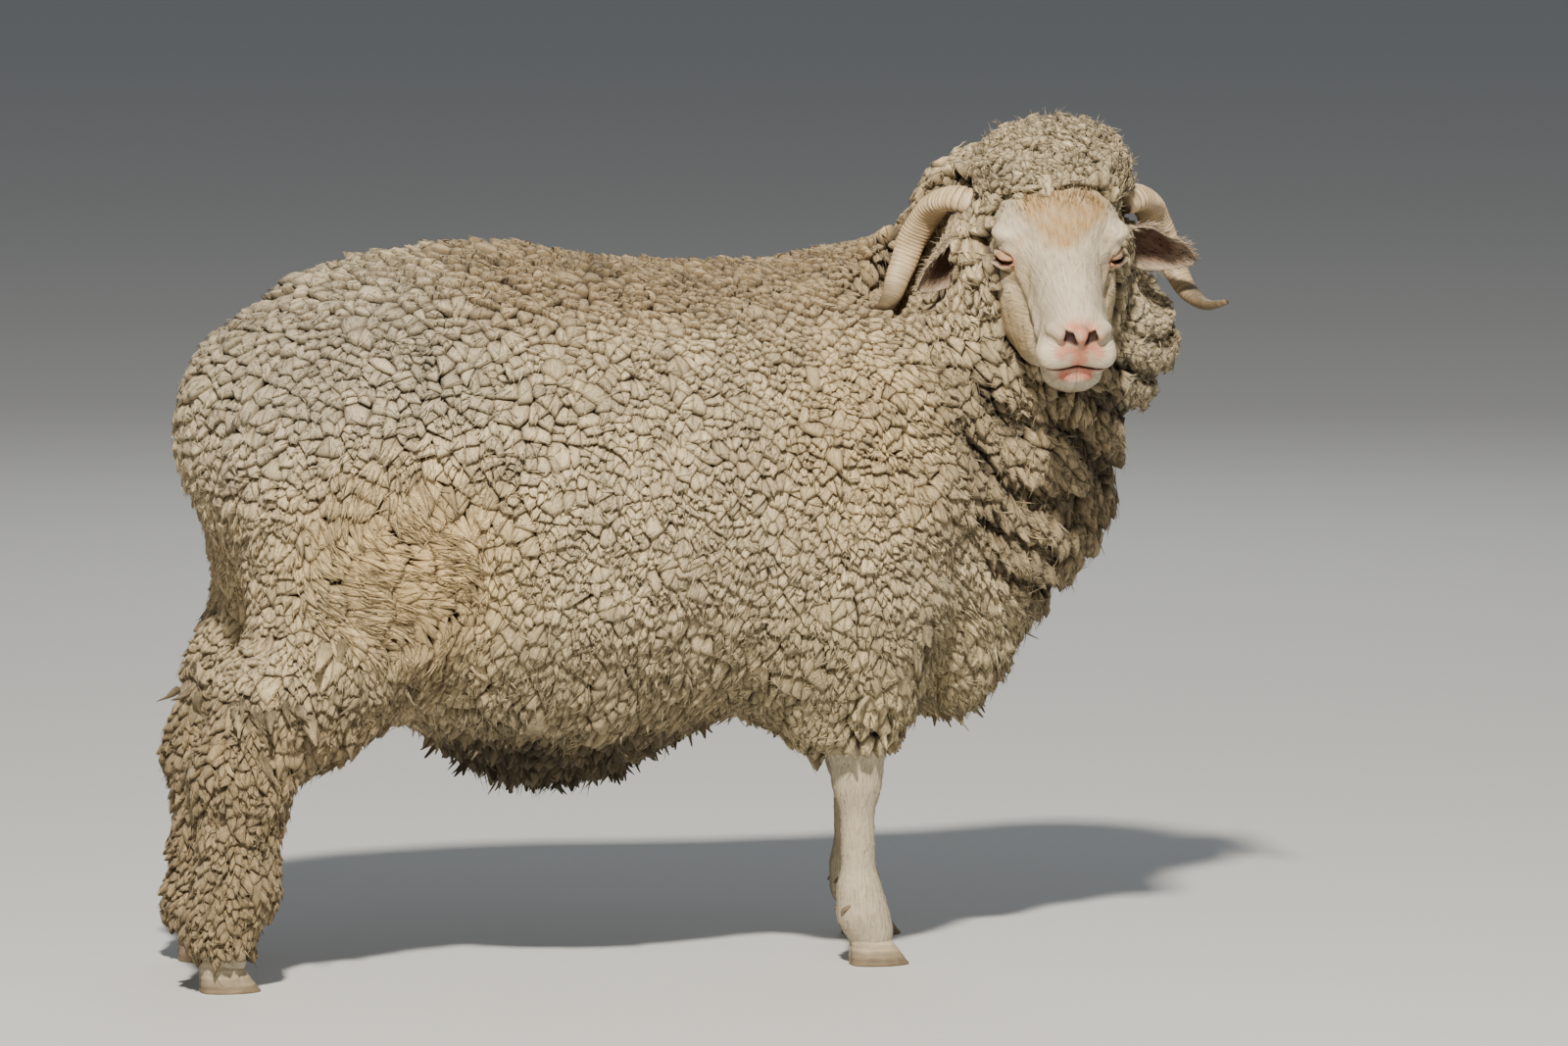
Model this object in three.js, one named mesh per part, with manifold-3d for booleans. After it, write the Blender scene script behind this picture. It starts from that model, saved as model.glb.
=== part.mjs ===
// A standing Merino ram in full fleece, head turned to its right, as a life-size museum model.
// Millimetres. The chest points along +X, the left flank along +Y, and the ground is Z = 0.
import * as THREE from "three";
import { mergeVertices } from "three/addons/utils/BufferGeometryUtils.js";
import Module from "manifold-3d";

const wasm = await Module();
wasm.setup();

// ---- driving dimensions -----------------------------------------------------
const GAP = 0.3;                       // clear space left between neighbouring parts
const HEAD_AT = [507, -178, 762];      // the point midway between the eyes
const HEAD_YAW = -97;                  // degrees from +X towards +Y
const HEAD_PITCH = -23;                // degrees, nose down
const NEAR_FORE = 0;                   // how far each foot stands ahead of its neighbour
const FAR_FORE = 50;
const NEAR_HIND = -16;
const FAR_HIND = 2;
const EYE_AT = [7, 49, 0];             // in the head's frame: forward, left, up
const EYE_RADIUS = 13.5;
const EAR_ROOT = [-60, 78, -12];
const EAR_LENGTH = 86;
const EAR_DROOP = { left: 0.34, right: 0.5 };    // radians the tip hangs below level
const EAR_SWEEP = { left: -0.1, right: -0.6 };   // radians the tip is laid back
const HORN_TURN = [99, 316];           // degrees the horn winds through, in the head's side view
const HORN_CENTRE = [-64, -34];        // forward and up of the winding's middle
const HORN_WINDING = 57;               // its radius
const HORN_ROOT = 79;                  // sideways distance of the horn's root
const CLAW = { length: 66, width: 23, height: 36 };

// Steps of the grid that each part of the body is faceted on: along, across and up.
const FACET = {
  trunk: [62, 50, 56], neck: [54, 52, 54], tail: [34, 32, 38], upper: [34, 32, 40], lower: [23, 22, 40],
};
const HEAD_FACET = { coarse: 40, fine: 18 };

// ---- frames -----------------------------------------------------------------
const radians = (degrees) => degrees * Math.PI / 180;

function turned(yaw, pitch) {
  const y = radians(yaw);
  const p = radians(pitch);
  const forward = [Math.cos(y) * Math.cos(p), Math.sin(y) * Math.cos(p), Math.sin(p)];
  const left = [-Math.sin(y), Math.cos(y), 0];
  const up = [
    forward[1] * left[2] - forward[2] * left[1],
    forward[2] * left[0] - forward[0] * left[2],
    forward[0] * left[1] - forward[1] * left[0],
  ];
  return [forward, left, up];
}

const HEAD_AXES = turned(HEAD_YAW, HEAD_PITCH);

const dot = (a, b) => a[0] * b[0] + a[1] * b[1] + a[2] * b[2];
const minus = (a, b) => [a[0] - b[0], a[1] - b[1], a[2] - b[2]];
const mirrored = (p) => [p[0], -p[1], p[2]];
const mix = (a, b, t) => a + (b - a) * t;

function intoHead(p) {
  const q = minus(p, HEAD_AT);
  return HEAD_AXES.map((axis) => dot(q, axis));
}

function outOfHead(h) {
  return [0, 1, 2].map((i) => HEAD_AT[i]
    + h[0] * HEAD_AXES[0][i] + h[1] * HEAD_AXES[1][i] + h[2] * HEAD_AXES[2][i]);
}

// ---- round forms, as distances ----------------------------------------------
// Joins two distances with a fillet about k wide.
function join(a, b, k) {
  const h = Math.max(k - Math.abs(a - b), 0) / k;
  return Math.min(a, b) - h * h * k * 0.25;
}

// An egg shape with its middle at c and half-widths r.
function blob(p, c, r) {
  const q = minus(p, c);
  const near = Math.hypot(q[0] / r[0], q[1] / r[1], q[2] / r[2]);
  const steep = Math.hypot(q[0] / r[0] ** 2, q[1] / r[1] ** 2, q[2] / r[2] ** 2);
  return near * (near - 1) / Math.max(steep, 1e-9);
}

// A round limb from a to b with radius ra at a and rb at b.
function limb(p, a, b, ra, rb) {
  const q = minus(p, a);
  const along = minus(b, a);
  const t = Math.min(Math.max(dot(q, along) / dot(along, along), 0), 1);
  return Math.hypot(q[0] - t * along[0], q[1] - t * along[1], q[2] - t * along[2]) - mix(ra, rb, t);
}

// ---- the body, out to the tips of its coat ----------------------------------
function trunk(p) {
  const q = [p[0], -Math.abs(p[1]), p[2]];
  let d = blob(p, [-120, 0, 545], [225, 205, 220]);             // loin and rump
  d = join(d, blob(p, [-228, 0, 558], [146, 172, 174]), 60);
  d = join(d, blob(p, [-350, 0, 588], [44, 48, 80]), 60);       // root of the tail
  d = join(d, blob(p, [20, 0, 495], [285, 240, 260]), 60);      // barrel
  d = join(d, blob(p, [-5, 0, 440], [200, 190, 243]), 60);      // belly
  d = join(d, blob(p, [225, 0, 512], [240, 212, 232]), 60);     // chest
  d = join(d, blob(q, [-235, -95, 450], [110, 108, 165]), 50);  // thigh
  d = join(d, blob(q, [285, -98, 420], [112, 108, 190]), 50);   // shoulder
  d = join(d, blob(p, [315, 5, 560], [120, 110, 180]), 40);     // withers
  return join(d, blob(p, [428, -5, 385], [82, 100, 130]), 50);  // brisket
}

function hindLeg(p, step) {
  let d = limb(p, [-215, -105, 400], [-285, -108, 308], 90, 74);
  d = join(d, limb(p, [-312 + 0.5 * step, -110, 300], [-345 + step, -112, 222], 66, 50), 30);
  d = join(d, limb(p, [-345 + step, -112, 222], [-347 + step, -110, 110], 48, 42), 25);
  d = join(d, limb(p, [-347 + step, -110, 110], [-368 + step, -108, 62], 41, 34), 20);
  return join(d, limb(p, [-368 + step, -108, 62], [-360 + step, -108, 34], 31, 30), 20);
}

function foreLeg(p, step) {
  let d = limb(p, [294 + step, -100, 380], [306 + step, -105, 262], 88, 47);
  d = join(d, limb(p, [306 + step, -105, 262], [308 + step, -105, 200], 32, 25), 25);
  d = join(d, limb(p, [308 + step, -105, 200], [310 + step, -105, 85], 19.5, 19.5), 25);
  d = join(d, limb(p, [311 + step, -105, 78], [314 + step, -105, 58], 24, 24), 15);
  return join(d, limb(p, [315 + step, -105, 52], [324 + step, -105, 34], 25, 25), 20);
}

function neck(p) {
  let d = limb(p, [375, 12, 575], [490, 0, 645], 170, 148);
  d = join(d, limb(p, [490, 0, 645], [504, -76, 750], 138, 116), 50);
  d = join(d, blob(p, [472, -40, 778], [82, 68, 84]), 40);      // nape
  return join(d, blob(p, [490, -12, 510], [122, 125, 138]), 50);
}

// The bare face, in the head's frame.
function face(h) {
  const q = [h[0], Math.abs(h[1]), h[2]];
  let d = blob(q, [-50, 0, 16], [85, 68, 62]);                  // skull
  d = join(d, blob(q, [-14, 0, 24], [50, 62, 44]), 20);         // forehead
  d = join(d, limb(q, [4, 0, 4], [116, 0, -24], 44, 34), 20);  // bridge of the nose
  d = join(d, blob(q, [132, 0, -38], [33, 39, 38]), 12);        // muzzle
  d = join(d, blob(q, [122, 0, -76], [32, 34, 24]), 12);        // chin
  d = join(d, limb(q, [-20, 0, -66], [100, 0, -74], 48, 26), 16);
  d = join(d, blob(q, [-14, 42, -46], [62, 25, 58]), 18);       // cheek
  d = join(d, blob(q, [30, 25, -70], [58, 26, 40]), 16);        // jaw
  return join(d, blob(q, [2, 50, 6], [26, 18, 24]), 12);        // brow and lids
}

// The woolly cap and ruff around the face, in the head's frame.
function ruff(h) {
  let d = blob(h, [-66, 0, 62], [68, 84, 56]);                  // cap
  d = join(d, blob(h, [-88, 84, -140], [60, 70, 102]), 25);     // left cheek
  d = join(d, blob(h, [-88, -66, -118], [60, 64, 92]), 25);     // right cheek
  d = join(d, blob(h, [-84, 0, -20], [56, 96, 80]), 25);
  return join(d, blob(h, [-80, 12, -152], [78, 112, 92]), 25);  // throat
}

// The hollow the wool leaves round each ear and horn, in the head's frame.
function hollow(h) {
  return blob([h[0], Math.abs(h[1]), h[2]], [-66, 154, -46], [68, 58, 68]);
}

function body(p) {
  const far = mirrored(p);
  let d = trunk(p);
  d = join(d, hindLeg(p, NEAR_HIND), 45);
  d = join(d, hindLeg(far, FAR_HIND), 45);
  d = join(d, foreLeg(p, NEAR_FORE), 35);
  d = join(d, foreLeg(far, FAR_FORE), 35);
  d = join(d, neck(p), 70);
  const h = intoHead(p);
  d = join(d, join(face(h), ruff(h), 14), 24);
  return -join(-d, hollow(h), 20);
}

// ---- a faceted skin over a distance -----------------------------------------
const CORNERS = [0, 1, 2, 3, 4, 5, 6, 7].map((i) => [i & 1, (i >> 1) & 1, (i >> 2) & 1]);

// Slides a point towards the surface where the distance is zero, by no more than the reach.
function settle(f, start, reach) {
  const e = 0.5;
  let p = start;
  for (let turn = 0; turn < 3; turn += 1) {
    const d = f(p);
    const slope = [0, 1, 2].map((i) => {
      const a = [...p];
      const b = [...p];
      a[i] += e;
      b[i] -= e;
      return (f(a) - f(b)) / (2 * e);
    });
    const steep = Math.max(dot(slope, slope), 0.1);
    p = p.map((x, i) => Math.min(Math.max(x - d * slope[i] / steep, start[i] - reach), start[i] + reach));
  }
  return p;
}

// Marks from low to high: fine steps between the two bounds of the fine stretch, coarse ones outside.
function marks(low, high, coarse, fine = coarse, from = low, to = high) {
  const list = [];
  const run = (a, b, step) => {
    const n = Math.max(Math.round((b - a) / step), 1);
    for (let i = 0; i < n; i += 1) list.push(mix(a, b, i / n));
  };
  if (from > low) run(low, from, coarse);
  run(from, to, fine);
  if (high > to) run(to, high, coarse);
  list.push(high);
  return list;
}

// One vertex for each cell of the grid the surface passes through, one quad for each edge it crosses.
// The grid's outermost marks lie outside the surface.
function faceted(f, grid) {
  const count = grid.map((list) => list.length);
  const at = (i, j, k) => (k * count[1] + j) * count[0] + i;
  const values = new Float64Array(count[0] * count[1] * count[2]);
  for (let k = 0; k < count[2]; k += 1) {
    for (let j = 0; j < count[1]; j += 1) {
      for (let i = 0; i < count[0]; i += 1) values[at(i, j, k)] = f([grid[0][i], grid[1][j], grid[2][k]]);
    }
  }
  const vertexOf = new Map();
  const points = [];
  for (let k = 0; k < count[2] - 1; k += 1) {
    for (let j = 0; j < count[1] - 1; j += 1) {
      for (let i = 0; i < count[0] - 1; i += 1) {
        const held = CORNERS.map(([a, b, c]) => values[at(i + a, j + b, k + c)]);
        const sum = [0, 0, 0];
        let crossings = 0;
        for (let from = 0; from < 8; from += 1) {
          for (const bit of [1, 2, 4]) {
            const to = from | bit;
            if (to === from || (held[from] < 0) === (held[to] < 0)) continue;
            const t = held[from] / (held[from] - held[to]);
            for (let n = 0; n < 3; n += 1) sum[n] += mix(CORNERS[from][n], CORNERS[to][n], t);
            crossings += 1;
          }
        }
        if (!crossings) continue;
        vertexOf.set(at(i, j, k), points.length);
        const cell = [i, j, k];
        const start = cell.map((c, n) => mix(grid[n][c], grid[n][c + 1], sum[n] / crossings));
        const reach = Math.min(...cell.map((c, n) => grid[n][c + 1] - grid[n][c])) / 4;
        points.push(settle(f, start, reach));
      }
    }
  }
  const faces = [];
  for (let k = 1; k < count[2] - 1; k += 1) {
    for (let j = 1; j < count[1] - 1; j += 1) {
      for (let i = 1; i < count[0] - 1; i += 1) {
        for (let axis = 0; axis < 3; axis += 1) {
          const here = [i, j, k];
          const next = [...here];
          next[axis] += 1;
          const inside = values[at(...here)] < 0;
          if (inside === values[at(...next)] < 0) continue;
          const ring = [[1, 1], [0, 1], [0, 0], [1, 0]].map(([b, c]) => {
            const cell = [...here];
            cell[(axis + 1) % 3] -= b;
            cell[(axis + 2) % 3] -= c;
            return vertexOf.get(at(...cell));
          });
          if (!inside) ring.reverse();
          faces.push([ring[0], ring[1], ring[2]], [ring[0], ring[2], ring[3]]);
        }
      }
    }
  }
  return meshOf(points, faces);
}

// ---- solids -----------------------------------------------------------------
function meshOf(points, faces) {
  const geometry = new THREE.BufferGeometry();
  geometry.setAttribute("position", new THREE.Float32BufferAttribute(points.flat(), 3));
  geometry.setIndex(faces.flat());
  return geometry;
}

function solid(geometry) {
  let joined = geometry;
  if (geometry.attributes.normal) {
    const bare = geometry.clone();
    bare.deleteAttribute("normal");
    bare.deleteAttribute("uv");
    joined = mergeVertices(bare, 1e-4);
  }
  return new wasm.Manifold(new wasm.Mesh({
    numProp: 3,
    vertProperties: new Float32Array(joined.attributes.position.array),
    triVerts: new Uint32Array(joined.index.array),
  }));
}

function geometryOf(shape) {
  const mesh = shape.getMesh();
  const geometry = new THREE.BufferGeometry();
  geometry.setAttribute("position", new THREE.BufferAttribute(new Float32Array(mesh.vertProperties), 3));
  geometry.setIndex(new THREE.BufferAttribute(new Uint32Array(mesh.triVerts), 1));
  return geometry;
}

// A block between two corners, grown on every side.
function block(low, high, grow = 0) {
  const size = high.map((x, i) => x - low[i] + 2 * grow);
  const box = new THREE.BoxGeometry(...size);
  box.translate(...high.map((x, i) => (x + low[i]) / 2));
  return solid(box);
}

// Moves a solid drawn in the head's frame to its place.
function placedInHead(geometry) {
  const [f, l, u] = HEAD_AXES;
  const move = new THREE.Matrix4().set(
    f[0], l[0], u[0], HEAD_AT[0],
    f[1], l[1], u[1], HEAD_AT[1],
    f[2], l[2], u[2], HEAD_AT[2],
    0, 0, 0, 1,
  );
  return geometry.clone().applyMatrix4(move);
}

// Moves the corners of a flat loop outwards.
function widened(loop, grow) {
  const n = loop.length;
  const turn = loop.reduce((sum, [a, b], i) => {
    const [c, d] = loop[(i + 1) % n];
    return sum + a * d - b * c;
  }, 0);
  return loop.map(([a, b], i) => {
    const [before, after] = [loop[(i + n - 1) % n], loop[(i + 1) % n]];
    const along = [after[0] - before[0], after[1] - before[1]];
    const step = 1.3 * grow * Math.sign(turn) / Math.max(Math.hypot(...along), 1e-6);
    return [a + along[1] * step, b - along[0] * step];
  });
}

// A closed skin over a row of loops, each drawn on its own pair of axes u and v, grown on every side.
function swept(rings, grow = 0) {
  const n = rings[0].loop.length;
  const last = rings.length - 1;
  const points = [];
  const faces = [];
  rings.forEach(({ at, u, v, loop }, r) => {
    const here = new THREE.Vector3(...at);
    if (r === 0 || r === last) {
      const beside = new THREE.Vector3(...rings[r === 0 ? 1 : last - 1].at);
      here.addScaledVector(here.clone().sub(beside).normalize(), grow);
    }
    for (const [a, b] of widened(loop, grow)) {
      points.push([here.x + a * u[0] + b * v[0], here.y + a * u[1] + b * v[1], here.z + a * u[2] + b * v[2]]);
    }
  });
  for (let r = 0; r < last; r += 1) {
    for (let i = 0; i < n; i += 1) {
      const [a, b] = [r * n + i, r * n + (i + 1) % n];
      faces.push([a, b, b + n], [a, b + n, a + n]);
    }
  }
  for (const first of [0, n * last]) {
    let [i, j] = [0, n - 1];
    const close = (a, b, c) => faces.push((first ? [a, b, c] : [c, b, a]).map((x) => first + x));
    while (j - i > 1) {
      close(i, i + 1, j);
      i += 1;
      if (j - i > 1) {
        close(i, j - 1, j);
        j -= 1;
      }
    }
  }
  return facingOut(meshOf(points, faces));
}

// Turns every face over when the skin encloses a negative volume.
function facingOut(geometry) {
  const p = geometry.attributes.position;
  const index = geometry.index.array;
  const corner = (i) => new THREE.Vector3().fromBufferAttribute(p, index[i]);
  let volume = 0;
  for (let i = 0; i < index.length; i += 3) {
    volume += corner(i).dot(corner(i + 1).cross(corner(i + 2)));
  }
  if (volume < 0) {
    for (let i = 0; i < index.length; i += 3) [index[i], index[i + 1]] = [index[i + 1], index[i]];
  }
  return geometry;
}

// ---- horns, ears, eyes and claws --------------------------------------------
// side is +1 for the left and -1 for the right.
const flipped = (side, p) => [p[0], side * p[1], p[2]];

function round(sides, wide, high) {
  return Array.from({ length: sides }, (_, i) => {
    const a = 2 * Math.PI * i / sides;
    return [wide * Math.cos(a), high * Math.sin(a)];
  });
}

// The middle line of a horn, from its root at 0 to its tip at 1.
function hornLine(t) {
  const turn = radians(mix(HORN_TURN[0], HORN_TURN[1], t));
  return new THREE.Vector3(
    HORN_CENTRE[0] + HORN_WINDING * Math.cos(turn),
    HORN_ROOT + 98 * t ** 0.64 + 14 * t ** 7,
    HORN_CENTRE[1] + HORN_WINDING * Math.sin(turn),
  );
}

// A horn with raised growth ridges, winding back, down and forward again.
function horn(side, grow) {
  const rings = 19;
  return placedInHead(swept(Array.from({ length: rings }, (_, r) => {
    const t = r / (rings - 1);
    const here = hornLine(t);
    const ahead = hornLine(t + 0.01).sub(hornLine(Math.max(t - 0.01, 0))).normalize();
    const out = new THREE.Vector3(here.x - HORN_CENTRE[0], 0, here.z - HORN_CENTRE[1]);
    out.addScaledVector(ahead, -out.dot(ahead)).normalize();
    const across = ahead.clone().cross(out);
    const ridge = 1 + 0.05 * (r % 2 ? 1 : -1) * (1 - t);
    const thick = mix(14, 3, t ** 2.4) * ridge;
    const wide = mix(17, 3.5, t ** 2.4) * ridge;
    return {
      at: flipped(side, here.toArray()),
      u: flipped(side, out.toArray()),
      v: flipped(side, across.toArray()),
      loop: round(8, thick, wide),
    };
  }), grow));
}

// A leaf-shaped cup opening forwards; droop lowers its tip and sweep carries the tip back.
function ear(side, droop, sweep, grow) {
  const rings = 7;
  const tip = new THREE.Vector3(
    -Math.sin(sweep) * Math.cos(droop),
    Math.cos(sweep) * Math.cos(droop),
    -Math.sin(droop),
  );
  const front = new THREE.Vector3(0.97, 0, -0.25);
  front.addScaledVector(tip, -front.dot(tip)).normalize();
  const upward = front.clone().cross(tip);
  return placedInHead(swept(Array.from({ length: rings }, (_, r) => {
    const t = r / (rings - 1);
    const width = 3 + 24 * Math.sin(Math.PI * mix(0.19, 0.97, t)) ** 0.9;
    const curl = mix(1.2, 0.7, t);
    const reach = width / Math.sin(curl);
    const here = new THREE.Vector3(...EAR_ROOT).addScaledVector(tip, EAR_LENGTH * t);
    here.addScaledVector(front, -10 * t * t);
    const loop = [];
    for (const face of [1, -1]) {
      for (let i = -3; i <= 3; i += 1) {
        const a = face * curl * i / 3;
        const radius = reach + face * 3.4 * (1 - 0.6 * (a / curl) ** 2);
        loop.push([radius * Math.sin(a), 8 + reach * Math.cos(curl) - radius * Math.cos(a)]);
      }
    }
    return {
      at: flipped(side, here.toArray()),
      u: flipped(side, upward.toArray()),
      v: flipped(side, front.toArray()),
      loop,
    };
  }), grow));
}

function eye(side, grow) {
  const shape = new THREE.SphereGeometry(EYE_RADIUS + grow, 10, 7);
  shape.translate(EYE_AT[0], side * EYE_AT[1], EYE_AT[2]);
  return placedInHead(shape);
}

// The opening between the lids, wider than it is high.
function lidOpening(side) {
  return placedInHead(swept([0, 34].map((out) => ({
    at: [EYE_AT[0] + 0.72 * out, side * (EYE_AT[1] + 0.69 * out), EYE_AT[2] - 1],
    u: [0.69, side * -0.72, 0],
    v: [0, 0, 1],
    loop: round(10, 11.5, 6),
  }))));
}

// A slanting hollow that runs in and up from the end of the nose.
function nostril(side) {
  return placedInHead(swept([0, 1].map((t) => ({
    at: [mix(138, 176, t), side * mix(9, 14, t), mix(-10, -20, t)],
    u: [0, side * 0.82, 0.57],
    v: [0, side * -0.57, 0.82],
    loop: round(8, mix(4, 8.5, t), mix(3, 5, t)),
  }))));
}

// The thin parting between the lips, curving round the muzzle.
function mouthLine() {
  const ends = 84;
  return placedInHead(swept(Array.from({ length: 9 }, (_, i) => {
    const a = radians(mix(-ends, ends, i / 8));
    return {
      at: [104, 0, -51 - 16 * Math.abs(Math.sin(a)) ** 0.7],
      u: [1.05 * Math.cos(a), Math.sin(a), 0],
      v: [0, 0, 1],
      loop: [[26, -1.1], [62, -1.1], [62, 1.1], [26, 1.1]],
    };
  })));
}

// One claw of a cloven foot: flat sole, upright inner wall, rounded outer wall, sloping toe.
function claw(at, outward, grow) {
  return swept([0, 0.4, 1].map((level) => {
    const front = mix(0.56, 0.16, level) * CLAW.length;
    const back = -0.41 * CLAW.length;
    const width = CLAW.width * mix(1, 0.88, level);
    const loop = [];
    for (let i = 0; i <= 6; i += 1) {
      const a = Math.PI * i / 6;
      loop.push([mix(front, back, (1 - Math.cos(a)) / 2), width * Math.sin(a) ** 0.75]);
    }
    return {
      at: [at[0], at[1] + 1.6 * outward, CLAW.height * level],
      u: [1, 0, 0],
      v: [0, outward, 0],
      loop,
    };
  }), grow);
}

// The small spare claw behind the pastern.
function dewclaw(at, outward, grow) {
  return swept([[0, 8], [0.6, 7], [1, 3]].map(([t, radius]) => ({
    at: [at[0] - 17 * t, at[1] + 13 * outward, at[2] - 12 * t],
    u: [0, outward, 0],
    v: [0.5, 0, 0.86],
    loop: round(6, radius, radius),
  })), grow);
}

// ---- putting the animal together --------------------------------------------
const COLOURS = {
  fleece: "#a8987c", face: "#d9c9b3", legs: "#b9a68a", horn: "#8a7458", claw: "#5d5346", eye: "#2a1d12",
};

const group = new THREE.Group();
group.name = "merino_ram";

function keep(name, shape, colour) {
  const geometry = shape.isBufferGeometry ? shape : geometryOf(shape);
  geometry.computeVertexNormals();
  const mesh = new THREE.Mesh(geometry, new THREE.MeshStandardMaterial({ color: COLOURS[colour] }));
  mesh.name = name;
  group.add(mesh);
}

// Everything set into the flesh, and the same grown by the gap for cutting its seat.
const setIn = [];

function setPart(name, make, colour, room = 1) {
  keep(name, make(0), colour);
  setIn.push({ name, seat: solid(make(room * GAP)) });
}

const SIDES = { left: 1, right: -1 };
const FEET = {
  fore_left: [[328 + FAR_FORE, 105], [304 + FAR_FORE, 105, 72]],
  fore_right: [[328 + NEAR_FORE, -105], [304 + NEAR_FORE, -105, 72]],
  hind_left: [[-360 + FAR_HIND, 108], [-386 + FAR_HIND, 108, 72]],
  hind_right: [[-360 + NEAR_HIND, -108], [-386 + NEAR_HIND, -108, 72]],
};

for (const [side, sign] of Object.entries(SIDES)) {
  setPart(`horn_${side}`, (grow) => horn(sign, grow), "horn", 2);
  setPart(`ear_${side}`, (grow) => ear(sign, EAR_DROOP[side], EAR_SWEEP[side], grow), "face", 3);
  setPart(`eye_${side}`, (grow) => eye(sign, grow), "eye");
}
for (const [foot, [at, spare]] of Object.entries(FEET)) {
  const outer = Math.sign(at[1]);
  for (const [which, outward] of [["outer", outer], ["inner", -outer]]) {
    setPart(`claw_${foot}_${which}`, (grow) => claw(at, outward, grow), "claw");
    setPart(`dewclaw_${foot}_${which}`, (grow) => dewclaw(spare, outward, grow), "claw");
  }
}

// Each part of the flesh is the body inside one cell; the cells meet with the gap between them.
function headCell(grow) {
  const box = new THREE.BoxGeometry(365 + 2 * grow, 304 + 2 * grow, 370 + 2 * grow);
  box.translate(-102 + 182.5, 0, 10);
  return solid(placedInHead(box));
}

// The half of space ahead of the plane between neck and trunk, or behind it.
function aheadOfShoulder(sign, grow) {
  const lean = radians(28);
  const box = new THREE.BoxGeometry(1200, 1600, 3000);
  box.translate(sign * (600 - grow), 0, 0);
  box.rotateY(-lean);
  box.translate(405, 0, 590);
  return solid(box);
}

const CELLS = {
  foreleg_left: [[225 + FAR_FORE, 50, -5], [390 + FAR_FORE, 185, 268]],
  foreleg_right: [[225 + NEAR_FORE, -185, -5], [390 + NEAR_FORE, -50, 268]],
  hindleg_left: [[-470, 20, -5], [-180, 260, 316]],
  hindleg_right: [[-470, -260, -5], [-180, -20, 316]],
  tail: [[-480, -56, 505], [-338, 56, 660]],
};
const KNEE = 196;
const HOCK = 218;

// The body between two corners, on a grid of the given steps.
function flesh(low, high, steps) {
  const middle = low.map((x, i) => (x + high[i]) / 2);
  const half = low.map((x, i) => (high[i] - x) / 2 + 0.6 * steps[i]);
  const inBox = (p) => Math.max(...p.map((x, i) => Math.abs(x - middle[i]) - half[i]));
  const grid = steps.map((step, i) => marks(low[i] - 2.1 * step, high[i] + 2.1 * step, step));
  return solid(faceted((p) => Math.max(body(p), inBox(p)), grid));
}

function withSeats(shape) {
  return setIn.reduce((left, part) => left.subtract(part.seat), shape);
}

for (const [name, [low, high]] of Object.entries(CELLS)) {
  if (name === "tail") {
    keep(name, flesh(low, high, FACET.tail).intersect(block(low, high)), "fleece");
    continue;
  }
  const split = name.startsWith("fore") ? KNEE : HOCK;
  const upper = [[low[0], low[1], split + GAP / 2], high];
  const lower = [low, [high[0], high[1], split - GAP / 2]];
  const colour = name.startsWith("fore") ? "legs" : "fleece";
  keep(`${name}_upper`, flesh(...upper, FACET.upper).intersect(block(...upper)), "fleece");
  keep(`${name}_lower`, withSeats(flesh(...lower, FACET.lower).intersect(block(...lower))), colour);
}

const trunkBox = [[-460, -300, 190], [580, 300, 800]];
let trunkSolid = flesh(...trunkBox, FACET.trunk).intersect(aheadOfShoulder(-1, -GAP / 2));
trunkSolid = trunkSolid.subtract(headCell(GAP));
for (const [low, high] of Object.values(CELLS)) {
  trunkSolid = trunkSolid.subtract(block(low, high, GAP));
}
keep("trunk", withSeats(trunkSolid), "fleece");

const neckBox = [[250, -330, 330], [690, 240, 940]];
const neckSolid = flesh(...neckBox, FACET.neck).intersect(aheadOfShoulder(1, -GAP / 2));
keep("neck", withSeats(neckSolid.subtract(headCell(GAP))), "fleece");

// The head is faceted in its own frame, finely over the face and coarsely over the wool.
const { coarse, fine } = HEAD_FACET;
const headGrid = [
  marks(-175, 230, coarse, fine, -38, 175),
  marks(-245, 245, coarse, fine, -70, 70),
  marks(-265, 195, coarse, fine, -112, 122),
];
const headShape = (h) => Math.max(body(outOfHead(h)), -118 - h[0], Math.abs(h[1]) - 172, -190 - h[2]);
let headSolid = withSeats(solid(placedInHead(faceted(headShape, headGrid))).intersect(headCell(0)));
for (const sign of Object.values(SIDES)) {
  headSolid = headSolid.subtract(solid(lidOpening(sign))).subtract(solid(nostril(sign)));
}
keep("head", headSolid.subtract(solid(mouthLine())), "face");

// The origin is the middle of the bounding box, on the ground.
const bounds = new THREE.Box3().setFromObject(group);
const centre = bounds.getCenter(new THREE.Vector3());
for (const mesh of group.children) mesh.geometry.translate(-centre.x, -centre.y, -bounds.min.z);

export default group;
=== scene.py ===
"""The look of a life-size Merino ram in full fleece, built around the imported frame.

Shapes are worked out in millimetres on the animal's own axes: +X towards the chest, +Y towards
its left flank, Z = 0 on the ground. in_frame() carries them into the frame, in metres.
"""
import math

import bpy
import numpy as np
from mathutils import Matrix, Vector
from mathutils.kdtree import KDTree


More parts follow.
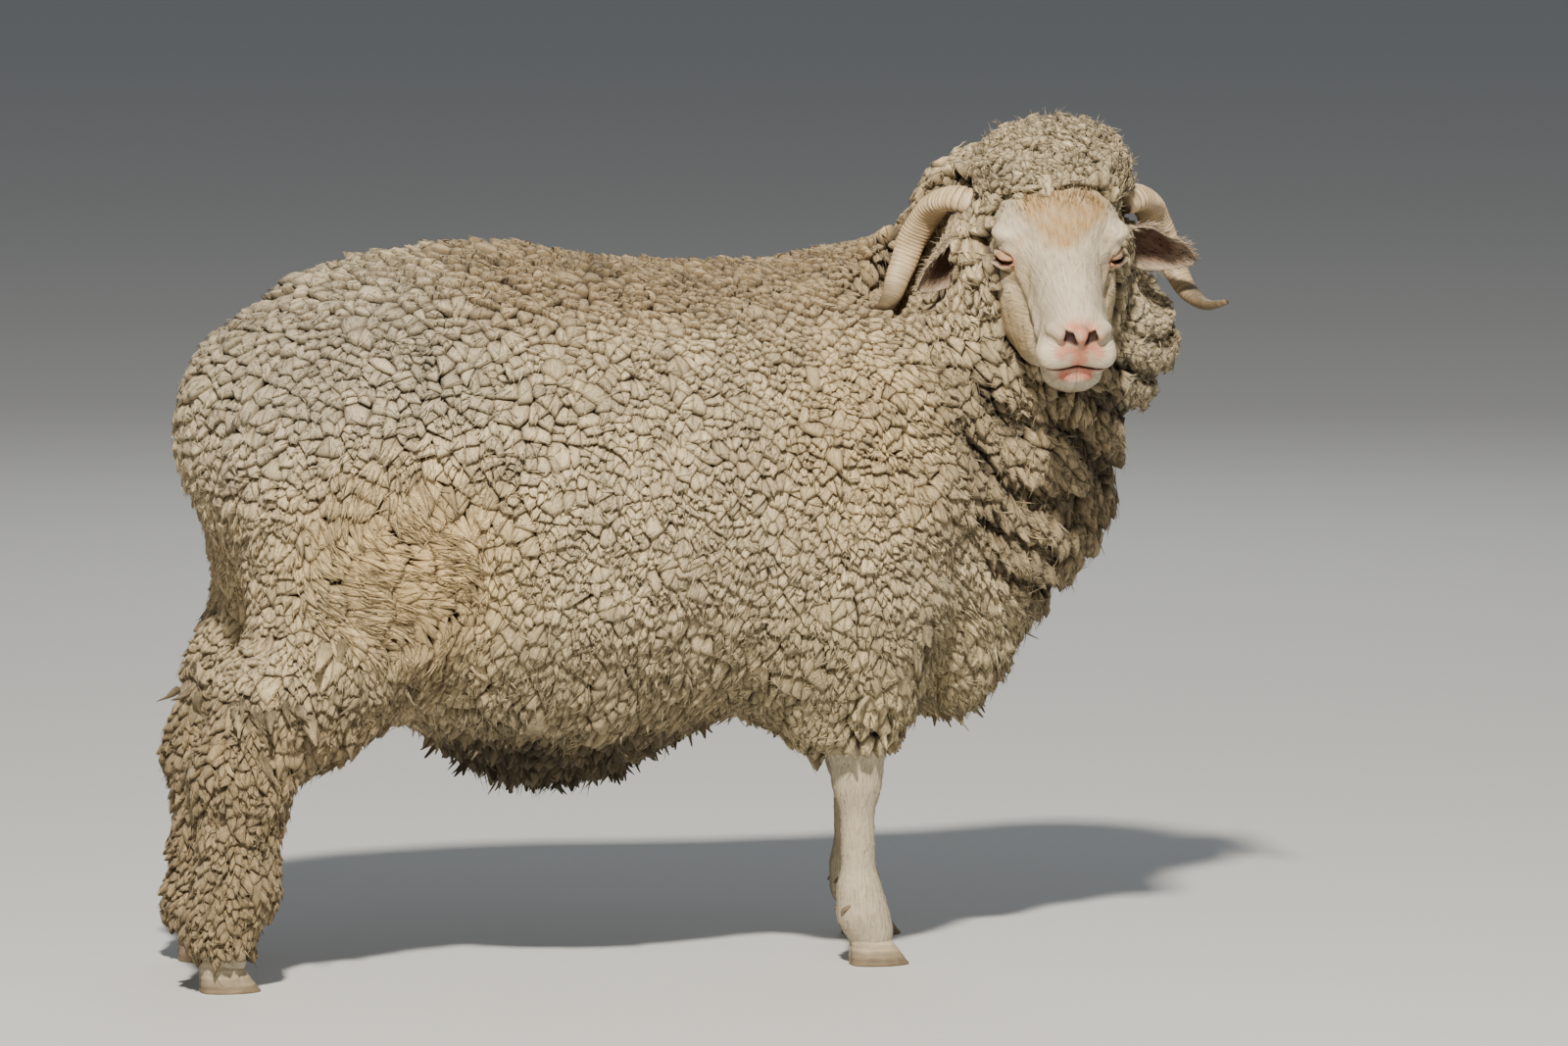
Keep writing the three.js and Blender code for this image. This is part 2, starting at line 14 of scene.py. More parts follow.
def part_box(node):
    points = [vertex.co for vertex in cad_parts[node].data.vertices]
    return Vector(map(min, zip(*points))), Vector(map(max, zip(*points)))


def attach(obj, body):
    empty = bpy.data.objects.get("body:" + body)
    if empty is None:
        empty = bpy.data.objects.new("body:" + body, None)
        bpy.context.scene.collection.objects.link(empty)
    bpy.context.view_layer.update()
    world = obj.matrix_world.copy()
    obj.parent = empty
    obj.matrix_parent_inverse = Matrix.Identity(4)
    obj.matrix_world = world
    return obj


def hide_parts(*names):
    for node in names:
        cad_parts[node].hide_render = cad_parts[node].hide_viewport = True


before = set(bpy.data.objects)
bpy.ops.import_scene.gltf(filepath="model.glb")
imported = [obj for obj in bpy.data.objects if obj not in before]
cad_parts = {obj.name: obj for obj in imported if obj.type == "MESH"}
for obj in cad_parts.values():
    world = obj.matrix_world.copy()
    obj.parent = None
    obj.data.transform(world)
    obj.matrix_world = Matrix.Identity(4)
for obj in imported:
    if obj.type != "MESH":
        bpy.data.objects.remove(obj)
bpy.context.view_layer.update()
SEED = 11
chance = np.random.default_rng(SEED)

# ---- driving dimensions, in millimetres -------------------------------------
HEAD_AT = np.array([507.0, -178.0, 762.0])       # midway between the eyes
HEAD_YAW = -97                                   # degrees from +X towards +Y
HEAD_PITCH = -23                                 # degrees, nose down
NEAR_FORE, FAR_FORE = 0, 50                      # how far each foot stands forward
NEAR_HIND, FAR_HIND = -16, 2
EYE_AT = np.array([7.0, 49.0, 0.0])              # in the head's frame: forward, left, up
EYE_RADIUS = 13.5
EAR_ROOT = np.array([-60.0, 78.0, -12.0])
EAR_LENGTH = 86
EAR_DROOP = {"left": 0.34, "right": 0.5}         # radians, down
EAR_SWEEP = {"left": -0.1, "right": -0.6}        # radians, forward where negative
HORN_TURN = (99, 316)                            # degrees round the winding, at the root and the tip
HORN_CENTRE = (-64, -34)                         # the middle of the winding: forward, up
HORN_WINDING = 57                                # its radius
HORN_ROOT = 79                                   # from the middle of the head to the root
CLAW_LENGTH, CLAW_WIDTH, CLAW_HEIGHT = 66, 23, 36
SIDES = {"left": 1, "right": -1}

# How far the skin lies under the tips of the coat.
WOOL_DEPTH = 26
HEAD_WOOL_DEPTH = 19
HOCK_WOOL_DEPTH = 8
HAIR_DEPTH = 1.5

BODY_GRID = 6.0          # spacing of the grids that the skin is drawn on
FACE_GRID = 1.7
SITE_GRID = 13.0
GRID_BLOCK = 4           # cells along each side of the blocks that are sampled roughly first
POINTS_AT_ONCE = 150000
LONGEST_SLIDE = 12       # of a point towards a surface, in one turn


# ---- frames -----------------------------------------------------------------
def unit(v):
    return v / np.maximum(np.linalg.norm(v, axis=-1, keepdims=True), 1e-9)


def turned(yaw, pitch):
    """Columns: forward, left and up."""
    y, p = math.radians(yaw), math.radians(pitch)
    forward = np.array([math.cos(y) * math.cos(p), math.sin(y) * math.cos(p), math.sin(p)])
    left = np.array([-math.sin(y), math.cos(y), 0.0])
    return np.stack([forward, left, np.cross(forward, left)], axis=1)


HEAD_AXES = turned(HEAD_YAW, HEAD_PITCH)


def into_head(p):
    return (p - HEAD_AT) @ HEAD_AXES


def out_of_head(h):
    return h @ HEAD_AXES.T + HEAD_AT


def eyes_in_frame():
    corners = [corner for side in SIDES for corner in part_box(f"eye_{side}")]
    return np.mean([list(corner) for corner in corners], axis=0)


# The frame's origin, found from the middle of the two eyes.
ORIGIN = out_of_head(EYE_AT * (1, 0, 1)) - 1000 * eyes_in_frame()


def in_frame(p):
    return (p - ORIGIN) / 1000


# ---- smooth blends ----------------------------------------------------------
def mix(a, b, t):
    return a + (b - a) * t


def ramp(x, low, high):
    """0 below low, 1 above high, smooth between; low may be the larger."""
    t = np.clip((x - low) / (high - low), 0, 1)
    return t * t * (3 - 2 * t)


def near(p, centre, radius):
    """1 at the centre of a soft patch, 0 beyond its radius, which may differ along each axis."""
    return 1 - ramp(np.linalg.norm((p - np.array(centre)) / np.array(radius), axis=-1), 0.35, 1)


def ripple(p, length, seed):
    """A smooth random field between about -1 and 1, with waves of that length."""
    draw = np.random.default_rng(seed)
    total = 0
    for _ in range(7):
        direction = unit(draw.normal(size=3)) / (length * draw.uniform(0.7, 1.5))
        total = total + np.sin(2 * np.pi * (p @ direction + draw.uniform()))
    return total / 3.5


# ---- the body as distances --------------------------------------------------
def join(a, b, k):
    h = np.maximum(k - np.abs(a - b), 0) / k
    return np.minimum(a, b) - h * h * k * 0.25


def carve(a, b, k):
    """a without b, with a rounded edge about k wide."""
    return -join(-a, b, k)


def blob(p, centre, radii):
    q = p - np.array(centre, float)
    r = np.array(radii, float)
    size = np.linalg.norm(q / r, axis=-1)
    steep = np.linalg.norm(q / (r * r), axis=-1)
    return size * (size - 1) / np.maximum(steep, 1e-9)


def limb(p, start, end, thick, thin):
    a, b = np.array(start, float), np.array(end, float)
    q, along = p - a, b - a
    t = np.clip(q @ along / (along @ along), 0, 1)
    return np.linalg.norm(q - t[:, None] * along, axis=-1) - mix(thick, thin, t)


def built(p, shapes, d=None):
    """Shapes joined one after another, or carved where the last value, the blend, is negative.

    A blob is a centre, radii and the blend; a limb is two ends, a radius at each and the blend.
    """
    for *shape, blend in shapes:
        new = blob(p, *shape) if len(shape) == 2 else limb(p, *shape)
        if d is None:
            d = new
        else:
            d = join(d, new, blend) if blend > 0 else carve(d, new, -blend)
    return d


def trunk(p):
    q = np.stack([p[:, 0], -np.abs(p[:, 1]), p[:, 2]], axis=1)
    d = built(q, [
        ([-120, 0, 545], [225, 205, 220], 0),
        ([-228, 0, 558], [146, 172, 174], 60),
        ([-350, 0, 588], [44, 48, 80], 60),
        ([20, 0, 495], [285, 240, 260], 60),
        ([-5, 0, 440], [200, 190, 243], 60),
        ([225, 0, 512], [240, 212, 232], 60),
        ([-235, -95, 450], [110, 108, 165], 50),
        ([285, -98, 420], [112, 108, 190], 50),
    ])
    return built(p, [([315, 5, 560], [120, 110, 180], 40), ([428, -5, 385], [82, 100, 130], 50)], d)


def hind_leg(p, step):
    return built(p, [
        ([-215, -105, 400], [-285, -108, 308], 90, 74, 0),
        ([-312 + 0.5 * step, -110, 300], [-345 + step, -112, 222], 66, 50, 30),
        ([-345 + step, -112, 222], [-347 + step, -110, 110], 48, 42, 25),
        ([-347 + step, -110, 110], [-368 + step, -108, 62], 41, 34, 20),
        ([-368 + step, -108, 62], [-360 + step, -108, 34], 31, 30, 20),
    ])


def fore_leg(p, step):
    return built(p, [
        ([294 + step, -100, 380], [306 + step, -105, 262], 88, 47, 0),
        ([306 + step, -105, 262], [308 + step, -105, 200], 32, 25, 25),
        ([308 + step, -105, 200], [310 + step, -105, 85], 19.5, 19.5, 25),
        ([311 + step, -105, 78], [314 + step, -105, 58], 24, 24, 15),
        ([315 + step, -105, 52], [324 + step, -105, 34], 25, 25, 20),
    ])


def neck(p):
    return built(p, [
        ([375, 12, 575], [490, 0, 645], 170, 148, 0),
        ([490, 0, 645], [504, -76, 750], 138, 116, 50),
        ([472, -40, 778], [82, 68, 84], 40),
        ([490, -12, 510], [122, 125, 138], 50),
    ])


def folded_over(h):
    """Points of the head, all brought to its left half."""
    return np.stack([h[:, 0], np.abs(h[:, 1]), h[:, 2]], axis=1)


def face(h):
    return built(folded_over(h), [
        ([-50, 0, 16], [85, 68, 62], 0),
        ([-14, 0, 24], [50, 62, 44], 20),
        ([4, 0, 4], [116, 0, -24], 44, 34, 20),
        ([132, 0, -38], [33, 39, 38], 12),
        ([122, 0, -76], [32, 34, 24], 12),
        ([-20, 0, -66], [100, 0, -74], 48, 26, 16),
        ([-14, 42, -46], [62, 25, 58], 18),
        ([30, 25, -70], [58, 26, 40], 16),
        ([2, 50, 6], [26, 18, 24], 12),
    ])


def ruff(h):
    return built(h, [
        ([-66, 0, 62], [68, 84, 56], 0),
        ([-88, 84, -140], [60, 70, 102], 25),
        ([-88, -66, -118], [60, 64, 92], 25),
        ([-84, 0, -20], [56, 96, 80], 25),
        ([-80, 12, -152], [78, 112, 92], 25),
    ])


def hollow(h):
    """The space beside the head where ear and horn stand clear of the wool."""
    return blob(folded_over(h), [-66, 154, -46], [68, 58, 68])


TRUNK, HIND_RIGHT, HIND_LEFT, FORE_RIGHT, FORE_LEFT, NECK, FACE, RUFF = range(8)


def is_hind(part):
    return (part == HIND_RIGHT) | (part == HIND_LEFT)


def is_fore(part):
    return (part == FORE_RIGHT) | (part == FORE_LEFT)


def part_distances(p):
    """The distance to each part's own surface, at the tips of the coat, in the order above."""
    far = p * (1, -1, 1)
    h = into_head(p)
    return [
        trunk(p), hind_leg(p, NEAR_HIND), hind_leg(far, FAR_HIND), fore_leg(p, NEAR_FORE),
        fore_leg(far, FAR_FORE), neck(p), face(h), ruff(h),
    ]


def body(p, under=0.0, features=None):
    """The whole body; under is 0 at the tips of the coat and 1 on the skin."""
    h = into_head(p)
    z = p[:, 2]
    hock = mix(HOCK_WOOL_DEPTH, WOOL_DEPTH, ramp(z, 120, 330))
    knee = mix(HAIR_DEPTH, WOOL_DEPTH, ramp(z, 205, 330))
    depths = [WOOL_DEPTH, hock, hock, knee, knee, WOOL_DEPTH, HAIR_DEPTH, HEAD_WOOL_DEPTH]
    parts = [d + under * depth for d, depth in zip(part_distances(p), depths)]
    d = parts[TRUNK]
    for part, blend in zip(parts[HIND_RIGHT:FACE], (45, 45, 35, 35, 70)):
        d = join(d, part, blend)
    head = features(h, parts[FACE]) if features else parts[FACE]
    d = join(d, join(head, parts[RUFF], 14), 24)
    return carve(d, hollow(h) - 0.4 * under * HEAD_WOOL_DEPTH, 20)


def slope(distance, p, step=0.6):
    """The outward direction of a distance at each point."""
    sides = []
    for axis in range(3):
        move = np.zeros(3)
        move[axis] = step
        sides.append(distance(p + move) - distance(p - move))
    return unit(np.stack(sides, axis=1))


def settle(distance, p, turns=2):
    """Slides points onto the surface where the distance is zero; gives them and their normals."""
    for _ in range(turns):
        normal = slope(distance, p)
        p = p - normal * np.clip(distance(p), -LONGEST_SLIDE, LONGEST_SLIDE)[:, None]
    return p, slope(distance, p)


# ---- surfaces from distances ------------------------------------------------
def sampled(distance, low, high, step):
    """The distance on a grid, exact near the surface and rough elsewhere."""
    block = GRID_BLOCK
    size = (np.ceil((np.array(high) - low) / step / block).astype(int) + 1) * block
    axes = [low[i] + step * np.arange(size[i]) for i in range(3)]
    middles = [axis[::block] + step * (block - 1) / 2 for axis in axes]
    grid = np.stack(np.meshgrid(*middles, indexing="ij"), axis=-1)
    rough = distance(grid.reshape(-1, 3)).reshape(grid.shape[:3])
    fine = np.repeat(np.repeat(np.repeat(rough, block, 0), block, 1), block, 2)
    close = np.argwhere(np.abs(fine) < step * block * 1.25)
    points = np.stack([axes[i][close[:, i]] for i in range(3)], axis=1)
    runs = max(1, len(points) // POINTS_AT_ONCE)
    fine[tuple(close.T)] = np.concatenate([distance(run) for run in np.array_split(points, runs)])
    return fine


def surface(distance, low, high, step):
    """Quads over the surface where the distance is zero: a vertex in each cell that it crosses."""
    low = np.array(low, float)
    d = sampled(distance, low, high, step)
    inside = d < 0
    corners = [(i, j, k) for i in (0, 1) for j in (0, 1) for k in (0, 1)]

    def at(values, corner):
        return values[tuple(slice(c, n - 1 + c) for c, n in zip(corner, values.shape))]

    count = sum(at(inside, corner).astype(np.int8) for corner in corners)
    crossed = (count > 0) & (count < 8)
    cells = np.argwhere(crossed)
    number = np.full(crossed.shape, -1)
    number[crossed] = np.arange(len(cells))
    held = {corner: at(d, corner)[crossed] for corner in corners}
    total, hits = np.zeros((len(cells), 3)), np.zeros(len(cells))
    for corner in corners:
        for axis in range(3):
            if corner[axis]:
                continue
            other = tuple(1 if i == axis else c for i, c in enumerate(corner))
            a, b = held[corner], held[other]
            cut = (a < 0) != (b < 0)
            place = np.tile(np.array(corner, float), (int(cut.sum()), 1))
            place[:, axis] += a[cut] / (a[cut] - b[cut])
            total[cut] += place
            hits[cut] += 1
    points = low + step * (cells + total / hits[:, None])
    quads = []
    for axis in range(3):
        b, c = (axis + 1) % 3, (axis + 2) % 3
        here = tuple(slice(0, -1) if i == axis else slice(None) for i in range(3))
        ahead = tuple(slice(1, None) if i == axis else slice(None) for i in range(3))
        edges = np.argwhere(inside[here] != inside[ahead])
        full = (edges[:, b] > 0) & (edges[:, c] > 0)
        full &= (edges[:, b] < d.shape[b] - 1) & (edges[:, c] < d.shape[c] - 1)
        edges = edges[full]
        ring = []
        for back_b, back_c in ((1, 1), (0, 1), (0, 0), (1, 0)):
            cell = edges.copy()
            cell[:, b] -= back_b
            cell[:, c] -= back_c
            ring.append(number[tuple(cell.T)])
        ring = np.stack(ring, axis=1)
        flip = ~inside[tuple(edges.T)]
        ring[flip] = ring[flip][:, ::-1]
        quads.append(ring)
    return points, np.concatenate(quads)


def without(points, quads, gone):
    """The surface without the vertices marked as gone."""
    kept = quads[~gone[quads].any(axis=1)]
    used = np.unique(kept)
    fresh = np.zeros(len(points), int)
    fresh[used] = np.arange(len(used))
    return points[used], fresh[kept]


def halved(quads):
    """Two triangles for each quad."""
    return np.concatenate([quads[:, [0, 1, 2]], quads[:, [0, 2, 3]]])


def corners_of(points, triangles):
    return (points[triangles[:, i]] for i in range(3))


# ---- meshes -----------------------------------------------------------------
def linear(colour):
    """A colour as written, from 0 to 255, in linear light."""
    c = np.array(colour, float) / 255
    return np.where(c <= 0.04045, c / 12.92, ((c + 0.055) / 1.055) ** 2.4)


def piece(name, points, faces, tint, slot, replaced=(), maps=None):
    """A mesh object that rides on the body, tinted at its vertices.

    Its faces all have as many corners. The maps are places on the unwraps, one for each vertex.
    """
    mesh = bpy.data.meshes.new(name)
    faces = np.asarray(faces, np.int32)
    sides = faces.shape[1]
    mesh.vertices.add(len(points))
    mesh.vertices.foreach_set("co", in_frame(points).astype(np.float32).ravel())
    mesh.loops.add(faces.size)
    mesh.loops.foreach_set("vertex_index", faces.ravel())
    mesh.polygons.add(len(faces))
    mesh.polygons.foreach_set("loop_start", np.arange(0, faces.size, sides, dtype=np.int32))
    mesh.polygons.foreach_set("use_smooth", np.ones(len(faces), bool))
    mesh.update(calc_edges=True)
    colours = np.ones((len(points), 4), np.float32)
    colours[:, :3] = np.clip(tint, 0, 1)
    tints = mesh.color_attributes.new("tint", "FLOAT_COLOR", "POINT")
    tints.data.foreach_set("color", colours.ravel())
    for label, places in (maps or {}).items():
        spread = places[faces.ravel()].astype(np.float32)
        mesh.uv_layers.new(name=label).data.foreach_set("uv", spread.ravel())
    obj = bpy.data.objects.new(name, mesh)
    bpy.context.scene.collection.objects.link(obj)
    obj.data.materials.append(MATERIALS[slot])
    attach(obj, "root")
    if replaced:
        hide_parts(*replaced)


def walls(rings, sides):
    """Triangles between loops that follow one another."""
    faces = []
    for r in range(rings - 1):
        for i in range(sides):
            a, b = r * sides + i, r * sides + (i + 1) % sides
            faces += [(a, b, b + sides), (a, b + sides, a + sides)]
    return faces


def tapered(rings, sides):
    """Triangles of a closed shape of loops that ends in one point."""
    root = [(0, i + 1, i) for i in range(1, sides - 1)]
    last, tip = (rings - 1) * sides, rings * sides
    top = [(last + i, last + (i + 1) % sides, tip) for i in range(sides)]
    return np.array(root + walls(rings, sides) + top)


def swept(rings):
    """Points and triangles of a closed skin over an array of loops, of shape (rings, sides, 3)."""
    count, sides = rings.shape[:2]
    points = np.concatenate([rings.reshape(-1, 3), rings[:1].mean(axis=1), rings[-1:].mean(axis=1)])
    start, end, last = count * sides, count * sides + 1, (count - 1) * sides
    faces = walls(count, sides)
    for i in range(sides):
        j = (i + 1) % sides
        faces += [(start, j, i), (end, last + i, last + j)]
    faces = np.array(faces)
    a, b, c = corners_of(points, faces)
    if np.einsum("ij,ij->i", a, np.cross(b, c)).sum() < 0:
        faces = faces[:, ::-1]
    return points, faces


def capped(values):
    """Values at the vertices of the loops, then at the two end points that swept() adds."""
    return np.concatenate([values, values[:1], values[-1:]])


# ---- materials --------------------------------------------------------------
def add(tree, kind, **values):
    """A new node; names that are sockets set the socket, others set the node's own property."""
    node = tree.nodes.new(kind)
    for key, value in values.items():
        if key in node.inputs:
            node.inputs[key].default_value = value
        else:
            setattr(node, key, value)
    return node


def noise(tree, stretch, scale, detail, roughness=0.6):
    """Noise along the lie of the coat, drawn out by the stretch, or over the object without one."""
    node = add(tree, "ShaderNodeTexNoise", Scale=scale, Detail=detail, Roughness=roughness)
    if stretch:
        mapping = add(tree, "ShaderNodeMapping", Scale=stretch)
        lie = add(tree, "ShaderNodeUVMap", uv_map="lie")
        tree.links.new(lie.outputs["UV"], mapping.inputs["Vector"])
        vector = mapping.outputs["Vector"]
    else:
        vector = tree.nodes.new("ShaderNodeTexCoord").outputs["Object"]
    tree.links.new(vector, node.inputs["Vector"])
    return node.outputs["Fac"]


def levels(tree, value, half, dark, light):
    """The middle of a noise, half to each side, spread from dark to light."""
    node = tree.nodes.new("ShaderNodeMapRange")
    ends = {"From Min": 0.5 - half, "From Max": 0.5 + half, "To Min": dark, "To Max": light}
    for key, number in ends.items():
        node.inputs[key].default_value = number
    tree.links.new(value, node.inputs["Value"])
    return node.outputs["Result"]


def surfaced(name, patterns, worn=None, **sockets):
    """A material tinted at the vertices, shaded by patterns of noise and raised by their bumps.

    A pattern is the values of noise(), of levels(), and the depth and strength of its bump.
    Where the material is worn, the last pattern also spreads its roughness over those two values.
    """
    material = bpy.data.materials.new(name)
    material.use_nodes = True
    tree = material.node_tree
    shader = tree.nodes["Principled BSDF"]
    colour = add(tree, "ShaderNodeVertexColor", layer_name="tint").outputs["Color"]
    bumps = []
    for grain, shades, bump in patterns:
        field = noise(tree, *grain)
        shaded = add(tree, "ShaderNodeVectorMath", operation="SCALE")
        tree.links.new(colour, shaded.inputs[0])
        tree.links.new(levels(tree, field, *shades), shaded.inputs["Scale"])
        colour = shaded.outputs["Vector"]
        if bump:
            bumps.insert(0, (field, *bump))
    tree.links.new(colour, shader.inputs["Base Color"])
    if worn:
        tree.links.new(levels(tree, field, 0.2, *worn), shader.inputs["Roughness"])
    for key, value in sockets.items():
        shader.inputs[key.replace("_", " ")].default_value = value
    under = None
    for field, depth, strength in bumps:
        raised = add(tree, "ShaderNodeBump", Distance=depth, Strength=strength)
        tree.links.new(field, raised.inputs["Height"])
        if under:
            tree.links.new(under, raised.inputs["Normal"])
        under = raised.outputs["Normal"]
        tree.links.new(under, shader.inputs["Normal"])
    return material


def hairy(name, roughness, fibre, grain, low, high, deep):
    """Wool or hair, with fibres along the lie of the coat, crimp across them and dirt in places."""
    return surfaced(name, [
        (((0.13, 1.0, 1.0), fibre, 4.0, 0.62), (0.18, low, high), (deep, 1.0)),
        (((0.6, 1.0, 1.0), grain, 3.0), (0.2, 0.86, 1.1), (0.6 * deep, 1.0)),
        ((None, 42.0, 5.0, 0.7), (0.2, 0.84, 1.12), None),
    ], Roughness=roughness, Specular_IOR_Level=0.2, Sheen_Weight=0.1, Sheen_Roughness=0.5)


def horny(name, along, worn):
    """Horn or hoof, with fine scratches drawn out by the given scale, and stains."""
    return surfaced(name, [
        ((along, 30.0, 5.0, 0.65), (0.2, 0.72, 1.22), (0.0012, 1.0)),
        ((None, 60.0, 4.0), (0.2, 0.8, 1.15), None),
    ], worn)


MATERIALS = {
    "fleece": hairy("fleece", 0.95, 430.0, 250.0, 0.7, 1.22, 0.003),
    "short_hair": hairy("short_hair", 0.8, 700.0, 400.0, 0.82, 1.12, 0.0008),
    "face": surfaced("short_coat", [
        (((0.12, 1.0, 1.0), 460.0, 4.0, 0.65), (0.18, 0.7, 1.2), (0.0011, 1.0)),
        ((None, 150.0, 5.0), (0.2, 0.93, 1.06), (0.0012, 0.6)),
    ], Roughness=0.62, Specular_IOR_Level=0.3),
    "horn": horny("horn", (6.0, 0.7, 1.0), (0.4, 0.62)),
    "claw": horny("claw", (1.0, 3.0, 1.0), (0.5, 0.72)),
    "eye": surfaced("eye", [((None, 900.0, 3.0), (0.2, 0.75, 1.2), None)],
                    Roughness=0.12, Coat_Weight=1.0, Coat_Roughness=0.04),
}

# ---- the colours of the coat ------------------------------------------------
CREAM = linear((200, 181, 145))
GREY_RUMP = linear((180, 166, 140))
DUSTY_BACK = linear((170, 149, 115))
WARM_THIGH = linear((206, 177, 126))
LOW_FLANK = linear((174, 157, 122))
SHOULDER = linear((198, 174, 132))
FOREARM = linear((190, 172, 134))
CAP = linear((188, 171, 138))
CHEEK = linear((198, 181, 148))
NECK_FOLDS = linear((160, 142, 110))
HOCK = linear((160, 140, 106))
# The underside of the belly: dirt, with painted shade of the underside.
BELLY_DIRT_AND_SHADE = linear((86, 74, 52))
SHORT_HAIR = linear((186, 168, 134))
FACE_WHITE = linear((190, 176, 150))
FOREHEAD_TAN = linear((164, 132, 88))
JAW = linear((162, 140, 104))
PINK = linear((206, 136, 108))
LID_TAN = linear((184, 142, 106))
LIP = linear((188, 118, 98))
# Painted shade in the eye slits, the parting of the lips and the nostrils.
PAINTED_RECESS_SHADE = linear((52, 30, 22))
SMUT = linear((112, 100, 98))


def toward(colour, other, weight):
    return colour + (other - colour) * np.clip(weight, 0, 1)[:, None]


def painted(colour, markings):
    """Colours with each marking, a shade and its weight, laid over the ones before it."""
    for shade, weight in markings:
        colour = toward(colour, shade, weight)
    return colour


def coat_tint(p, part):
    """The colour of the coat over the body, worked out from the place on the animal."""
    x, z = p[:, 0], p[:, 2]
    h = into_head(p)
    # The underside of the belly, which takes the dirt and the painted shade.
    under = ramp(z + 26 * ripple(p, 60, 8), 285, 225) * ramp(x, -210, -150) * ramp(x, 230, 170)
    colour = painted(np.tile(CREAM, (len(p), 1)), [
        (GREY_RUMP, near(p, [-230, -60, 640], [240, 330, 190])),
        (WARM_THIGH, near(p, [-190, 0, 450], [210, 420, 200])),
        (LOW_FLANK, ramp(z, 430, 300) * ramp(x, -190, -60) * 0.9),
        (SHOULDER, near(p, [300, 0, 560], [190, 420, 190])),
        (DUSTY_BACK, ramp(z, 668, 722) * ramp(x, -190, -60) * ramp(x, 470, 330)),
        (FOREARM, ramp(z, 430, 330) * ramp(x, 190, 240)),
        (NECK_FOLDS, (part == NECK) * ramp(h[:, 2], -60, -160) * 0.9),
        (HOCK, is_hind(part) * ramp(z, 370, 260)),
        (CHEEK, (part == RUFF) * 0.9),
        (CAP, (part == RUFF) * ramp(h[:, 2], 30, 60)),
        (BELLY_DIRT_AND_SHADE, under * 0.8),
        (FACE_WHITE, (part == FACE) * 0.8),
        (SHORT_HAIR, is_fore(part) * ramp(z, 250, 225)),
    ])
    return colour * (1 + 0.07 * ripple(p, 260, 1) + 0.06 * ripple(p, 90, 2))[:, None]


def eye_axes(side):
    """Out of the socket, towards the nose along the slit, and up; in the head's frame."""
    out = unit(np.array([0.70, side * 0.71, 0.08]))
    along = unit(np.array([0.70, side * -0.70, -0.04]))
    along = unit(along - out * (along @ out))
    return out, along, np.cross(along, out) * -side


def eye_place(h, side):
    """Coordinates about an eye: out, along towards the nose, up."""
    q = h - EYE_AT * (1, side, 1)
    return np.stack([q @ axis for axis in eye_axes(side)], axis=1)


def mouth_height(h):
    """The height of the parting of the lips, as it runs round the muzzle."""
    a = np.arctan2(1.05 * np.abs(h[:, 1]), h[:, 0] - 104)
    return -53 - 10 * np.abs(np.sin(a)) ** 0.9


def slit_height(e):
    """The height of the parting of the lids, arched towards the nose."""
    return 1.5 + 2.6 * np.cos(np.clip(e[:, 1] + 1, -15, 15) * np.pi / 26) - 0.12 * e[:, 1]


